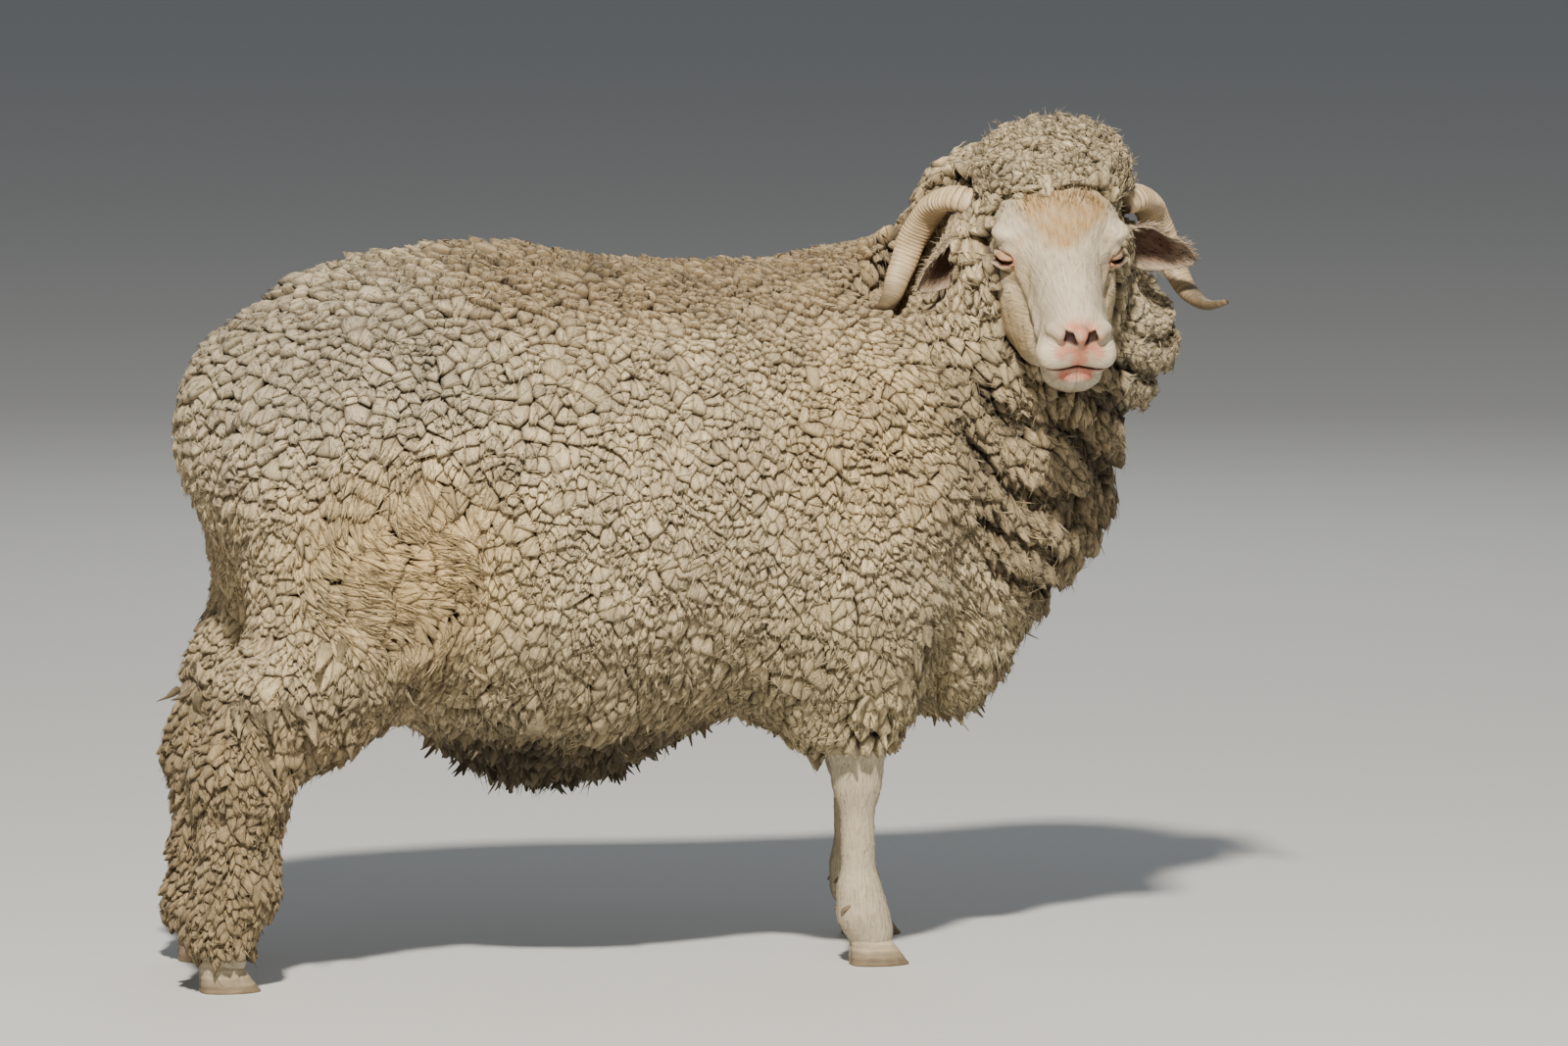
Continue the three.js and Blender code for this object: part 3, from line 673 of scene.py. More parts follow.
def face_tint(h, tint):
    """The markings of the face: tan forehead, pale nose, tan lids, pink nose and lips, with painted
    shade in the eye slits, the parting of the lips, the nostrils and under the chin.
    """
    q = folded_over(h)
    uneven = ripple(h, 16, 5)
    forehead = 1.6 * near(h, [4, 2, 60], [54, 62, 40]) + 1.2 * near(h, [28, -4, 40], [42, 30, 30])
    markings = [
        (FACE_WHITE * 0.96, ramp(h[:, 0], -40, 30)),
        (JAW, near(q, [36, 46, -70], [92, 34, 52]) * (0.85 + 0.2 * ripple(h, 42, 6))),
        (JAW, near(q, [52, 50, -16], [64, 24, 44]) * 0.55),
        (FACE_WHITE * 1.12, near(q, [112, 0, 4], [86, 22, 40]) * 0.75),
        (FACE_WHITE * 1.6, near(q, [142, 26, -46], [32, 26, 28]) * 0.85),
        (FOREHEAD_TAN, np.clip(1.15 * forehead, 0, 1) * (0.9 + 0.2 * uneven)),
        (FACE_WHITE * 1.15, near(q, [12, 60, 29], [22, 20, 13]) * 0.8),
    ]
    for side in SIDES.values():
        e = eye_place(h, side)
        ahead = ramp(e[:, 0], 3, 8)
        lid = 1 - ramp(np.hypot((e[:, 1] - 2) / 16, (e[:, 2] + 1) / 12.5), 0.55, 1.0)
        slit = np.abs(e[:, 2] - slit_height(e))
        along = 1 - ramp(np.abs(e[:, 1] + 1), 10, 15)
        markings += [
            (LID_TAN, lid * ahead * (0.9 + 0.2 * uneven)),
            (PINK * 0.85, near(e, [14, 13, -1], [16, 9, 10]) * 0.5 * ahead),
            (PINK * 0.62, (1 - ramp(slit, 1.6, 4.6)) * along * ahead * 0.5),
            # painted shade along the slit between the lids
            (PAINTED_RECESS_SHADE * 0.7, (1 - ramp(slit, 1.9, 3.6)) * along * ahead),
            (LID_TAN, near(e, [10, 15, 7], [14, 9, 15]) * 0.6),
            (FACE_WHITE * 1.35, near(e, [8, -1, -21], [18, 16, 12]) * 0.8),
            (LID_TAN, near(e, [12, 16, -22], [14, 5, 26]) * 0.35),
        ]
    pad = 1.25 * near(q, [160, 0, -19], [30, 30, 24]) + 1.3 * near(q, [165, 0, -42], [20, 13, 17])
    pad = pad + 0.8 * near(q, [158, 19, -37], [18, 12, 12])
    mottle = 0.86 + 0.3 * ripple(h, 9, 9) + 0.2 * uneven
    smut = near(h, [160, -15, -16], [10, 9, 8]) * 0.6 + near(h, [158, 4, -8], [12, 8, 6]) * 0.35
    above_lips = h[:, 2] - mouth_height(h)
    front = ramp(h[:, 0], 102, 120)
    lips = (1 - ramp(np.abs(above_lips + 8), 5, 10)) * front * (1 - ramp(q[:, 1], 13, 25))
    # Painted shade under the chin, cast by the muzzle.
    chin_shade = near(q, [118, 0, -96], [56, 44, 22])
    return painted(tint, markings + [
        (PINK, np.clip(pad, 0, 1) * np.clip(mottle, 0, 1)),
        (SMUT, smut),
        (LIP, lips * (0.85 + 0.35 * uneven)),
        # Painted shade: the lips darken towards their parting, and the parting itself is dark.
        (LIP * 0.7, (1 - ramp(np.abs(above_lips), 1.6, 5)) * front * 0.6),
        (PAINTED_RECESS_SHADE, (1 - ramp(np.abs(above_lips), 0.6, 2.0)) * front * 0.9),
        (JAW * 0.55, np.clip(1.4 * chin_shade, 0, 1) * 0.8),
        # painted shade inside the nostrils
        (PAINTED_RECESS_SHADE * 0.7, (1 - ramp(nostril(h), 0.2, 2.4)) * 0.98),
    ])


# ---- the features of the face -----------------------------------------------
def nostril(h):
    """A slanting comma at the end of the nose, widest at its middle."""
    return built(folded_over(h), [
        ([168, 6.5, -26], [161, 12, -19], 3.0, 5.0, 0),
        ([161, 12, -19], [157, 15.5, -16], 4.4, 2.6, 3),
    ])


def face_features(h, d):
    """Adds brows, lids, the nose pad, nostrils and lips to the distance of the plain face."""
    q = folded_over(h)
    d = built(q, [
        ([8, 58, 27], [15, 15, 9], 12),                       # brow over the eye
        ([30, 41, 12], [34, 41, -26], 6, 4, 10),              # rim of the socket
        ([36, 38, -20], [104, 33, -38], 6, 7, 14),            # crest of the cheek
        ([34, 52, -22], [96, 46, -46], 6, 8, -12),            # hollow beneath it
        ([44, 0, 66], [60, 0, 50], 8, 5, -26),                # dip before the forehead
    ], d)
    for side in SIDES.values():
        e = eye_place(h, side)
        d = join(d, blob(e, [1.5, 0, 0], [17.5, 18.5, 15.5]), 6)
        crease = np.abs(blob(e, [2, 0, 2], [20, 21, 15.5])) - 0.8     # fold round the lids
        d = carve(d, np.maximum(crease, 7 - e[:, 0]), 3)
        above = e[:, 2] - slit_height(e)
        gap = 2.1 * np.sqrt(np.clip(1 - ((e[:, 1] + 1) / 14) ** 2, 0, 1))
        opening = np.maximum(np.abs(above) - gap, np.abs(e[:, 0] - 17) - 8)
        lash = np.maximum(np.abs(above - 4.2) - 2.4, np.abs(e[:, 1] + 1) - 13)
        d = join(d, np.maximum(np.maximum(lash, e[:, 0] - 20.4), 10 - e[:, 0]), 3)
        d = carve(d, opening, 1.4)
    d = built(q, [
        ([158, 20, -17], [146, 27, -16], 6.5, 8, 8),          # wing of the nostril
        ([159, 0, -18], [9, 9, 11], 6),                       # tip of the nose
        ([144, 23, -46], [20, 19, 18], 10),                   # upper lip
        ([143, 0, -70], [17, 20, 9], 6),                      # lower lip
    ], d)
    parting = np.maximum(np.abs(h[:, 2] - mouth_height(h)) - 1.1, -(d + 7))
    d = carve(d, np.maximum(parting, 100 - h[:, 0]), 2.4)
    d = built(q, [([172, 0, -30], [166, 0, -52], 2.2, 1.6, -4)], d)       # groove of the upper lip
    d = carve(d, nostril(h), 2.5)
    return d - 0.5 * ripple(h, 15, 7) * ramp(h[:, 0], 175, 140)


def skin_distance(p):
    return body(p, 1.0, face_features)


# ---- eyes, horns, ears and claws --------------------------------------------
def flipped(p, side):
    return p * np.array([1, side, 1])


def horn_line(t):
    """The middle line of the left horn in the head's frame, from 0 at its root to 1 at its tip."""
    turn = np.radians(mix(HORN_TURN[0], HORN_TURN[1], t))
    out = HORN_ROOT + 98 * t ** 0.64 + 14 * t ** 7
    along = HORN_CENTRE[0] + HORN_WINDING * np.cos(turn)
    up = HORN_CENTRE[1] + HORN_WINDING * np.sin(turn)
    return np.stack([along, out, up], axis=-1)


HORN_LIGHT = linear((212, 186, 146))
HORN_DARK = linear((70, 53, 36))
# The tip: the horn's own darker tip, with painted shadow of the ear over it.
HORN_TIP_AND_EAR_SHADOW = linear((78, 64, 45))
HORN_RIDGES = 46


def horn_piece(side_name):
    """A horn with close growth ridges, each a little uneven."""
    side = SIDES[side_name]
    rings, sides = 330, 28
    t = np.linspace(0, 1, rings)
    here = horn_line(t)
    ahead = unit(horn_line(t + 0.01) - horn_line(np.maximum(t - 0.01, 0)))
    out = here - np.array([HORN_CENTRE[0], 0, HORN_CENTRE[1]])
    out[:, 1] = 0
    out = unit(out - ahead * np.einsum("ij,ij->i", out, ahead)[:, None])
    across = np.cross(ahead, out)
    draw = np.random.default_rng(31 + side)
    pace = np.interp(t, np.linspace(0, 1, 40), draw.uniform(0.7, 1.3, 40))
    beat = np.cumsum(pace) / pace.sum() * HORN_RIDGES * 2 * np.pi
    strength = np.interp(t, np.linspace(0, 1, 60), draw.uniform(0.35, 1.0, 60)) * (1 - 0.6 * t)
    a = np.linspace(0, 2 * np.pi, sides, endpoint=False)
    beats = beat[:, None] + 0.5 * np.sin(a + 2) + 0.35 * np.sin(2 * a + 6 * t[:, None])
    wave = 1 - 2 * np.abs(np.sin(beats / 2)) ** 0.7
    ridge = 1 - 0.045 * wave * strength[:, None] + 0.03 * np.sin(5 * t[:, None] * 6 + a)
    thick = mix(14, 3, t ** 2.4)[:, None] * ridge
    wide = mix(17, 3.5, t ** 2.4)[:, None] * ridge
    keel = 1 + 0.07 * np.cos(3 * a)
    loops = here[:, None] + out[:, None] * (thick * (np.cos(a) * keel))[..., None]
    loops = loops + across[:, None] * (wide * (np.sin(a) * keel))[..., None]
    points, faces = swept(out_of_head(flipped(loops, side)))
    groove = np.clip(wave * strength[:, None], 0, 1).ravel()
    tipward = np.repeat(ramp(t, 0.5, 0.85), sides)
    tint = toward(np.tile(HORN_LIGHT, (len(groove), 1)), HORN_DARK, 0.1 + 1.35 * groove)
    # Darker towards the tip: partly the horn's own colour, partly painted shadow of the ear.
    tint = toward(tint, HORN_TIP_AND_EAR_SHADOW, tipward * 0.85)
    lie = np.stack([np.repeat(t * 0.3, sides), np.tile(a / (2 * np.pi) * 0.1, rings)], axis=1)
    piece(f"ridged_horn_{side_name}", points, faces, capped(tint), "horn", [f"horn_{side_name}"],
          {"lie": capped(lie)})


EAR_OUTSIDE = linear((192, 170, 140))
EAR_RIM = linear((196, 176, 150))
# The inside of the cup: its own colour, with painted shade darkest at its root and middle.
EAR_INSIDE = linear((88, 60, 44))


def ear_shape(side_name):
    """A leaf-shaped cup: its points, triangles, tint, the lie of its hair and the way to its tip."""
    side = SIDES[side_name]
    droop, sweep = EAR_DROOP[side_name], EAR_SWEEP[side_name]
    tip = turned(math.degrees(sweep) + 90, -math.degrees(droop))[:, 0]
    front = np.array([0.97, 0, -0.25])
    front = unit(front - tip * (front @ tip))
    upward = np.cross(front, tip)
    rings, half = 56, 21
    loops, tints, lies = [], [], []
    for t in np.linspace(0, 1, rings):
        width = 3 + 24 * math.sin(math.pi * mix(0.19, 0.97, t)) ** 0.9
        curl = mix(1.35, 0.8, t)
        reach = width / math.sin(curl)
        here = EAR_ROOT + tip * (EAR_LENGTH * t) - front * (10 * t * t)
        loop = []
        for layer in (1, -1):
            share = layer * np.linspace(-1, 1, half)
            a = share * curl
            wave = 1.3 * math.sin(9 * t) * share + 0.9 * np.sin(14 * t + 4 * share)
            radius = reach + layer * 2.6 * (1 - 0.7 * share ** 2) * (1 - 0.4 * t) + wave
            loop.append(here + upward * (radius * np.sin(a))[:, None]
                        + front * (8 + reach * math.cos(curl) - radius * np.cos(a))[:, None])
            # Painted shade: the inside of the cup darkens towards its root and middle.
            deep = (1 - share ** 2) * (1 - t) ** 0.5
            shaded_cup_tint = toward(np.tile(EAR_RIM, (half, 1)), EAR_INSIDE, 0.35 + 1.1 * deep)
            tints.append(shaded_cup_tint if layer < 0 else np.tile(EAR_OUTSIDE, (half, 1)))
            lies.append(np.stack([np.full(half, EAR_LENGTH * t), radius * a], axis=1))
        loops.append(np.concatenate(loop))
    points, faces = swept(out_of_head(flipped(np.array(loops), side)))
    tint, lie = capped(np.concatenate(tints)), capped(np.concatenate(lies) / 1000)
    tint = tint * (1 + 0.1 * ripple(points, 14, 9))[:, None]
    return points, faces, tint, lie, flipped(tip, side) @ HEAD_AXES.T


IRIS = linear((150, 104, 48))
PUPIL = linear((12, 9, 8))
EYE_WHITE = linear((120, 92, 76))


def eye_piece(side_name):
    """An eyeball with an amber iris and a level pupil, looking out of its socket."""
    side = SIDES[side_name]
    rings, sides = 40, 40
    polar = np.linspace(0.02, np.pi - 0.02, rings)
    turn = np.linspace(0, 2 * np.pi, sides, endpoint=False)
    out, along, up = eye_axes(side)
    outward = np.cos(turn)[:, None] * along + np.sin(turn)[:, None] * up
    ball = np.cos(polar)[:, None, None] * out + np.sin(polar)[:, None, None] * outward
    points, faces = swept(out_of_head(EYE_AT * (1, side, 1) + EYE_RADIUS * ball))
    e = eye_place(into_head(points), side)
    radius = np.hypot(e[:, 1], e[:, 2])
    facing = e[:, 0] > 0
    tint = np.tile(EYE_WHITE, (len(points), 1))
    tint = toward(tint, IRIS, facing * (1 - ramp(radius, 8.2, 9.2)))
    tint = toward(tint, PUPIL, facing * (1 - ramp(np.hypot(e[:, 1] / 6.4, e[:, 2] / 2.4), 0.8, 1.1)))
    piece(f"eyeball_{side_name}", points, faces, tint, "eye", [f"eye_{side_name}"])


FEET = {
    "fore_left": ([328 + FAR_FORE, 105, 0], [304 + FAR_FORE, 105, 72]),
    "fore_right": ([328 + NEAR_FORE, -105, 0], [304 + NEAR_FORE, -105, 72]),
    "hind_left": ([-360 + FAR_HIND, 108, 0], [-386 + FAR_HIND, 108, 72]),
    "hind_right": ([-360 + NEAR_HIND, -108, 0], [-386 + NEAR_HIND, -108, 72]),
}
HOOF_TOP = linear((186, 170, 140))
HOOF_SOLE = linear((128, 110, 84))


def claw_piece(name, at, outward, node):
    """One claw: flat sole, upright inner wall, rounded outer wall with growth rings, sloping toe."""
    levels_up = np.linspace(0, 1, 22)
    loops = []
    for level in levels_up:
        bulge = 1 + 0.012 * math.sin(level * 31) - 0.05 * level * level
        front = mix(0.56, 0.16, level) * CLAW_LENGTH
        back = -0.41 * CLAW_LENGTH
        a = np.linspace(0, np.pi, 26)
        along = mix(front, back, (1 - np.cos(a)) / 2) * bulge
        width = CLAW_WIDTH * mix(1, 0.88, level) * np.sin(a) ** 0.75 * bulge
        sole = 0.0 if level > 0 else 0.8
        width = np.maximum(width - sole, 0.0)
        loops.append(np.stack([at[0] + along, at[1] + outward * (1.6 + width),
                               np.full(len(a), CLAW_HEIGHT * level)], axis=1))
    loops = np.array(loops)
    points, faces = swept(loops)
    level = np.concatenate([np.repeat(levels_up, loops.shape[1]), [0, 1]])
    tint = toward(np.tile(HOOF_SOLE, (len(points), 1)), HOOF_TOP, ramp(level, 0.05, 0.85))
    tint = tint * (1 + 0.1 * np.sin(level * 31))[:, None]
    lie = np.stack([points[:, 0], points[:, 2]], axis=1) / 1000
    piece(name, points, faces, tint, "claw", [node], {"lie": lie})


def dewclaw_piece(name, at, outward, node):
    """One small blunt claw above the hoof, pointing back and down."""
    loops = []
    for t in np.linspace(0, 1, 10):
        radius = 8 * (1 - t ** 2.2) ** 0.5 * 0.95 + 0.4
        a = np.linspace(0, 2 * np.pi, 16, endpoint=False)
        centre = np.array([at[0] - 17 * t, at[1] + 13 * outward, at[2] - 12 * t])
        loops.append(centre + np.outer(radius * np.cos(a), [0, outward, 0])
                     + np.outer(radius * np.sin(a), [0.5, 0, 0.86]))
    points, faces = swept(np.array(loops))
    tint = np.tile(HOOF_SOLE * 0.8, (len(points), 1))
    piece(name, points, faces, tint, "claw", [node], {"lie": points[:, ::2] / 1000})


# ---- the skin ---------------------------------------------------------------
FLESH = ["trunk", "neck", "head", "tail", "ear_left", "ear_right"]
for leg in ("foreleg", "hindleg"):
    FLESH += [f"{leg}_{side}_{half}" for side in SIDES for half in ("upper", "lower")]
FACE_BACK = -62          # where the fine skin of the face begins, forward of the eyes
FAR = 1e3


def in_face_box(p, spare):
    """Whether each point lies in the box of the fine skin, by at least the spare margin."""
    h = folded_over(into_head(p))
    return ((h > [FACE_BACK + spare, -1, spare - 122]) & (h < [FAR, 92 - spare, 92 - spare])).all(axis=1)


def part_of(p):
    return np.argmin(np.stack(part_distances(p)), axis=0)


def on_face(p):
    """1 on the bare face, 0 under the wool, smooth between."""
    h = into_head(p)
    return ramp(h[:, 0], -60, -35) * ramp(ruff(h) - face(h), -8, 4)


def coat_and_face_tint(p, part):
    tint = coat_tint(p, part)
    return mix(tint, face_tint(into_head(p), tint), on_face(p)[:, None])


def hair_lie(p, part):
    """Along and across the lie of the short hair, in metres: out from the nose, or down the legs."""
    h = into_head(p)
    across, up = h[:, 1], h[:, 2] + 34
    out = np.hypot(across, up) + 0.35 * np.abs(h[:, 0] - 150)
    lie = np.stack([out, 46 * np.arctan2(across, up)], axis=1)
    leg = is_fore(part)
    middle = np.array([308.0 + NEAR_FORE, -105.0])
    middle = np.where((p[:, 1] > 0)[:, None], [308.0 + FAR_FORE, 105.0], middle)
    q = p[:, :2] - middle
    lie[leg] = np.stack([p[:, 2], 24 * np.arctan2(q[:, 1], q[:, 0])], axis=1)[leg]
    return lie / 1000


def build_skin():
    """One skin over all the flesh: fine over the face, coarser under the wool, with the ears."""
    coarse, coarse_quads = surface(skin_distance, [-420, -250, 0], [640, 250, 900], BODY_GRID)
    coarse, _ = settle(skin_distance, coarse, 1)
    coarse, coarse_quads = without(coarse, coarse_quads, in_face_box(coarse, 6))
    fine, fine_quads = surface(
        lambda h: skin_distance(out_of_head(h)), [FACE_BACK - 6, -96, -126], [190, 96, 96], FACE_GRID)
    shells = []
    for points, quads in ((coarse, coarse_quads), (out_of_head(fine), fine_quads)):
        part = part_of(points)
        tint = coat_and_face_tint(points, part)
        shells.append((points, halved(quads), tint, hair_lie(points, part)))
    for side_name in SIDES:
        shells.append(ear_shape(side_name)[:4])
    starts = np.cumsum([0] + [len(shell[0]) for shell in shells])
    faces = np.concatenate([shell[1] + start for shell, start in zip(shells, starts)])
    points, tint, lie = (np.concatenate([shell[i] for shell in shells]) for i in (0, 2, 3))
    piece("skin", points, faces, tint, "face", FLESH, {"lie": lie})


# ---- the lie, length and size of the coat -----------------------------------
def coat_flow(p, normal, part):
    """The direction in which the coat lies, along the surface."""
    h = into_head(p)
    fore = ramp(p[:, 0], 250, 350)[:, None]
    flow = mix(np.tile([-0.35, 0.0, -1.0], (len(p), 1)), np.array([0.55, 0.0, -0.85]), fore)
    flow[part == NECK] = [0.45, -0.1, -0.9]
    flow[is_hind(part) | is_fore(part)] = [-0.1, 0.0, -1.0]
    away = h - np.array([-30.0, 0.0, -30.0])
    away[:, 0] = -0.35 * np.linalg.norm(away, axis=1)
    forward = ramp(h[:, 2], 25, 60)[:, None] * np.array([150.0, 0.0, 0.0])
    flow[part == RUFF] = unit(away + forward)[part == RUFF] @ HEAD_AXES.T
    away[:, 0] = -0.7 * np.linalg.norm(away, axis=1)
    flow[part == FACE] = unit(away)[part == FACE] @ HEAD_AXES.T
    swirl = np.stack([ripple(p, 130, 26), np.zeros(len(p)), 0.6 * ripple(p, 150, 27)], axis=1)
    flow = flow + 0.3 * np.stack([ripple(p, 70, 20 + i) for i in range(3)], axis=1)
    flow = mix(flow, np.array([0.8, 0.0, -0.35]) + 1.1 * swirl, combed_thigh(p)[:, None])
    return unit(flow - normal * np.einsum("ij,ij->i", flow, normal)[:, None])


def combed_thigh(p):
    """1 on the thigh, where the wool lies flat and combed."""
    return near(p * (1, 0, 1), [-215, 0, 440], [130, 1, 150])


def under_belly(p):
    return ramp(p[:, 2], 285, 225) * ramp(p[:, 0], -240, -190) * ramp(p[:, 0], 230, 190)


def coat_kind(p, part):
    """The size of the tufts and clumps, their stretch, height, hang and cracks, at each place."""
    x, z = p[:, 0], p[:, 2]
    h = into_head(p)
    hind = is_hind(part)
    is_ruff = part >= FACE
    on_trunk = part == TRUNK
    rump = ramp(x, 60, -110) * ramp(z, 430, 540) * on_trunk
    low = ramp(z, 430, 310) * on_trunk
    under = under_belly(p) * on_trunk
    chest = ramp(x, 320, 400) * ramp(z, 560, 460) * (part != RUFF)
    places = {
        "under": under,
        "chest": chest,
        "shelf": ramp(x, 270, 340) * ramp(z, 420, 500) * ramp(z, 720, 640) * on_trunk,
        "beside_face": is_ruff * ramp(face(h), 70, 22) * ramp(h[:, 2], 50, 30),
        "combed": combed_thigh(p) * (part <= HIND_LEFT),
    }

    def spread(base, on_rump, on_low, on_hind, on_neck, on_ruff, **others):
        value = mix(mix(base, on_rump, rump), on_low, low)
        for here, there in ((is_ruff, on_ruff), (part == NECK, on_neck), (hind, on_hind)):
            value = np.where(here, there, value)
        for place, other in others.items():
            value = mix(value, other, places[place])
        return value

    wispy = np.where(is_ruff, 2.4 + 2.4 * ramp(h[:, 2], 20, 70), np.where(hind, 1.3, 0.6))
    edge_of_sleeve = is_fore(part) * ramp(z, 275, 250)
    thigh_hem = ramp(z, 350, 310) * ramp(x, -130, -170) * (part <= HIND_LEFT) * ramp(z, 240, 270)
    brisket = ramp(z, 350, 300) * ramp(x, 360, 400)
    locky = under + brisket + 1.4 * edge_of_sleeve + 0.5 * thigh_hem + 0.3 * low * ramp(z, 420, 340)
    return {
        "size": spread(10.4, 14.5, 12.0, 10.0, 11.5, 8.4, under=12.0, beside_face=6.4, combed=13.5),
        "staple": spread(19.0, 27.0, 32.0, 19.0, 30.0, 20.0, under=24.0, beside_face=16.0, combed=46.0),
        "stretch": spread(1.1, 1.05, 1.3, 1.25, 1.4, 1.15, chest=1.5, shelf=1.6, combed=1.9),
        "height": spread(2.0, 2.4, 2.6, 2.2, 2.8, 2.2, beside_face=1.8, combed=1.0),
        "tilt": spread(3.0, 3.6, 2.8, 3.0, 2.8, 1.4, chest=4.0, shelf=4.0, combed=1.0),
        "lap": spread(0.34, 0.22, 0.22, 0.4, 0.3, 0.3, chest=0.5, combed=0.3),
        "lean": spread(0.8, 0.8, 3.0, 2.2, 1.5, 1.4, chest=4.0, beside_face=2.5),
        "hang": 9 * under * (0.4 + 0.6 * ramp(z, 255, 215)),
        "dense": spread(1.0, 1.0, 1.1, 1.1, 1.2, 2.3, chest=1.4, combed=1.0),
        "uneven": spread(0.7, 0.8, 1.1, 1.0, 1.3, 1.3, combed=0.3) + 0.8 * ramp(z, 680, 730),
        "curly": spread(0.3, 0.35, 0.4, 0.45, 0.6, 0.8, combed=0.12),
        "fibre": spread(8.5, 9.5, 11.0, 9.5, 11.0, 7.5, combed=15.0, chest=14.0),
        "deep": np.where(hind & (z < 250), 6.0, np.where(is_ruff, 10.0, 13.0)),
        "dome": spread(2.4, 2.8, 5.5, 2.4, 5.0, 1.6, combed=1.6, beside_face=1.0),
        "crack": spread(0.2, 0.6, 1.3, 0.4, 1.0, 0.2, combed=0.3, beside_face=0.1),
        "wispy": wispy + 1.6 * under + 1.6 * chest + 1.0 * low + 1.2 * ramp(z, 690, 730),
        "locky": 1e-6 + locky,
    }


def coat_relief(p, part):
    """Broad swells of the fleece about its mean outline: lumps, and folds round the neck."""
    lumps = 2.2 * ripple(p, 120, 40) + 1.5 * ripple(p, 55, 41)
    h = into_head(p)
    along = (p - np.array([430.0, -20.0, 560.0])) @ unit(np.array([0.55, -0.35, 0.75]))
    fold = np.sin(2 * np.pi * along / 50 + 1.8 * ripple(p, 120, 42))
    folded = ((part == NECK) | (part == RUFF)) * ramp(p[:, 0], 372, 430) * ramp(h[:, 2], -95, -150)
    crevice = ramp(ruff(h), 34, 4) * ramp(neck(p), -30, 4) * (part <= NECK) * ramp(h[:, 2], 30, -40)
    lumps = lumps * (part < FACE) - 9 * under_belly(p) * (part == TRUNK)
    return lumps + folded * (12 * np.minimum(fold, 0.3) - 1.5) - 9 * crevice - 12 * beside_horn(h)


def beside_horn(h):
    """1 where the wool lies flat under a horn."""
    q = folded_over(h)
    apart = [np.linalg.norm(q - point, axis=1) for point in horn_line(np.linspace(0, 0.6, 25))]
    return ramp(np.min(apart, axis=0), 36, 20)


def woolly(p, part):
    """Where the fleece grows: not on the face nor on the lower forelegs."""
    bare_face = (part == FACE) & (into_head(p)[:, 0] > -70)
    bare_leg = is_fore(part) & (p[:, 2] < 236 + 7 * ripple(p, 30, 45))
    return ~(bare_face | bare_leg | (p[:, 2] < 36))


# ---- tufts ------------------------------------------------------------------
def scatter(points, quads, spacing):
    """Random points over a surface, about that far apart at each vertex."""
    triangles = halved(quads)
    a, b, c = corners_of(points, triangles)
    area = np.linalg.norm(np.cross(b - a, c - a), axis=1) / 2
    wanted = area / (0.87 * spacing[triangles].mean(axis=1) ** 2)
    total = np.cumsum(wanted)
    picks = np.searchsorted(total, chance.uniform(0, total[-1], int(total[-1])))
    u, v = chance.uniform(size=(2, len(picks), 1))
    over = u + v > 1
    u, v = np.where(over, 1 - u, u), np.where(over, 1 - v, v)
    return a[picks] + u * (b - a)[picks] + v * (c - a)[picks]


def neighbours(points, among, count):
    """The nearest of the others to each point, so many of them, nearest first."""
    tree = KDTree(len(among))
    for i, p in enumerate(among.tolist()):
        tree.insert(p, i)
    tree.balance()
    return np.array([[hit[1] for hit in tree.find_n(p, count)] for p in points.tolist()])


CLUMP_WALLS = 12         # neighbours that can bound a clump
TUFTS_AROUND = 16        # neighbours that can bound a tuft
DIRECTIONS = 28          # in which the reach of a tuft is measured
SPOKES = np.linspace(0, 2 * np.pi, DIRECTIONS, endpoint=False)

# Low on the body the clumps come out taller than wide: heights there are drawn together.
HEIGHTS = np.linspace(0, 1100, 221)
SQUEEZE = mix(0.6, 1.0, ramp(HEIGHTS, 290, 420))
SQUEEZED = np.cumsum(SQUEEZE) * (HEIGHTS[1] - HEIGHTS[0])


def squeeze(p):
    return np.interp(p[..., 2], HEIGHTS, SQUEEZE)


def squeezed(p):
    q = p.copy()
    q[..., 2] = np.interp(p[..., 2], HEIGHTS, SQUEEZED)
    return q


def scrambled(x):
    """A number from 0 to 1 that looks random, but is the same for the same x."""
    return (np.sin(x * 12.9898) * 43758.5) % 1.0


class Staples:
    """Clumps of the fleece, parted by cracks that are widest where two slabs of clumps meet."""

    def __init__(self, sites, slabs, crack):
        self.centres = squeezed(sites)
        self.around = neighbours(self.centres, self.centres, CLUMP_WALLS + 1)[:, 1:]
        others = self.centres[self.around]
        self.middles = (self.centres[:, None] + others) / 2
        self.facing = unit(others - self.centres[:, None])
        slab = neighbours(self.centres, squeezed(slabs), 1)[:, 0]
        pair = slab[:, None] + slab[self.around] + 0.37 * slab[:, None] * slab[self.around]
        self.slab_edge = (slab[:, None] != slab[self.around]) * scrambled(pair)
        self.gap = crack[:, None] * (0.5 + 1.8 * self.slab_edge ** 2)

    def member(self, p):
        return neighbours(squeezed(p), self.centres, 1)[:, 0]

    def room(self, p, group):
        """The distance from each point to each wall of its clump, cracks left out."""
        return np.einsum("nkj,nkj->nk", self.middles[group] - squeezed(p)[:, None], self.facing[group])


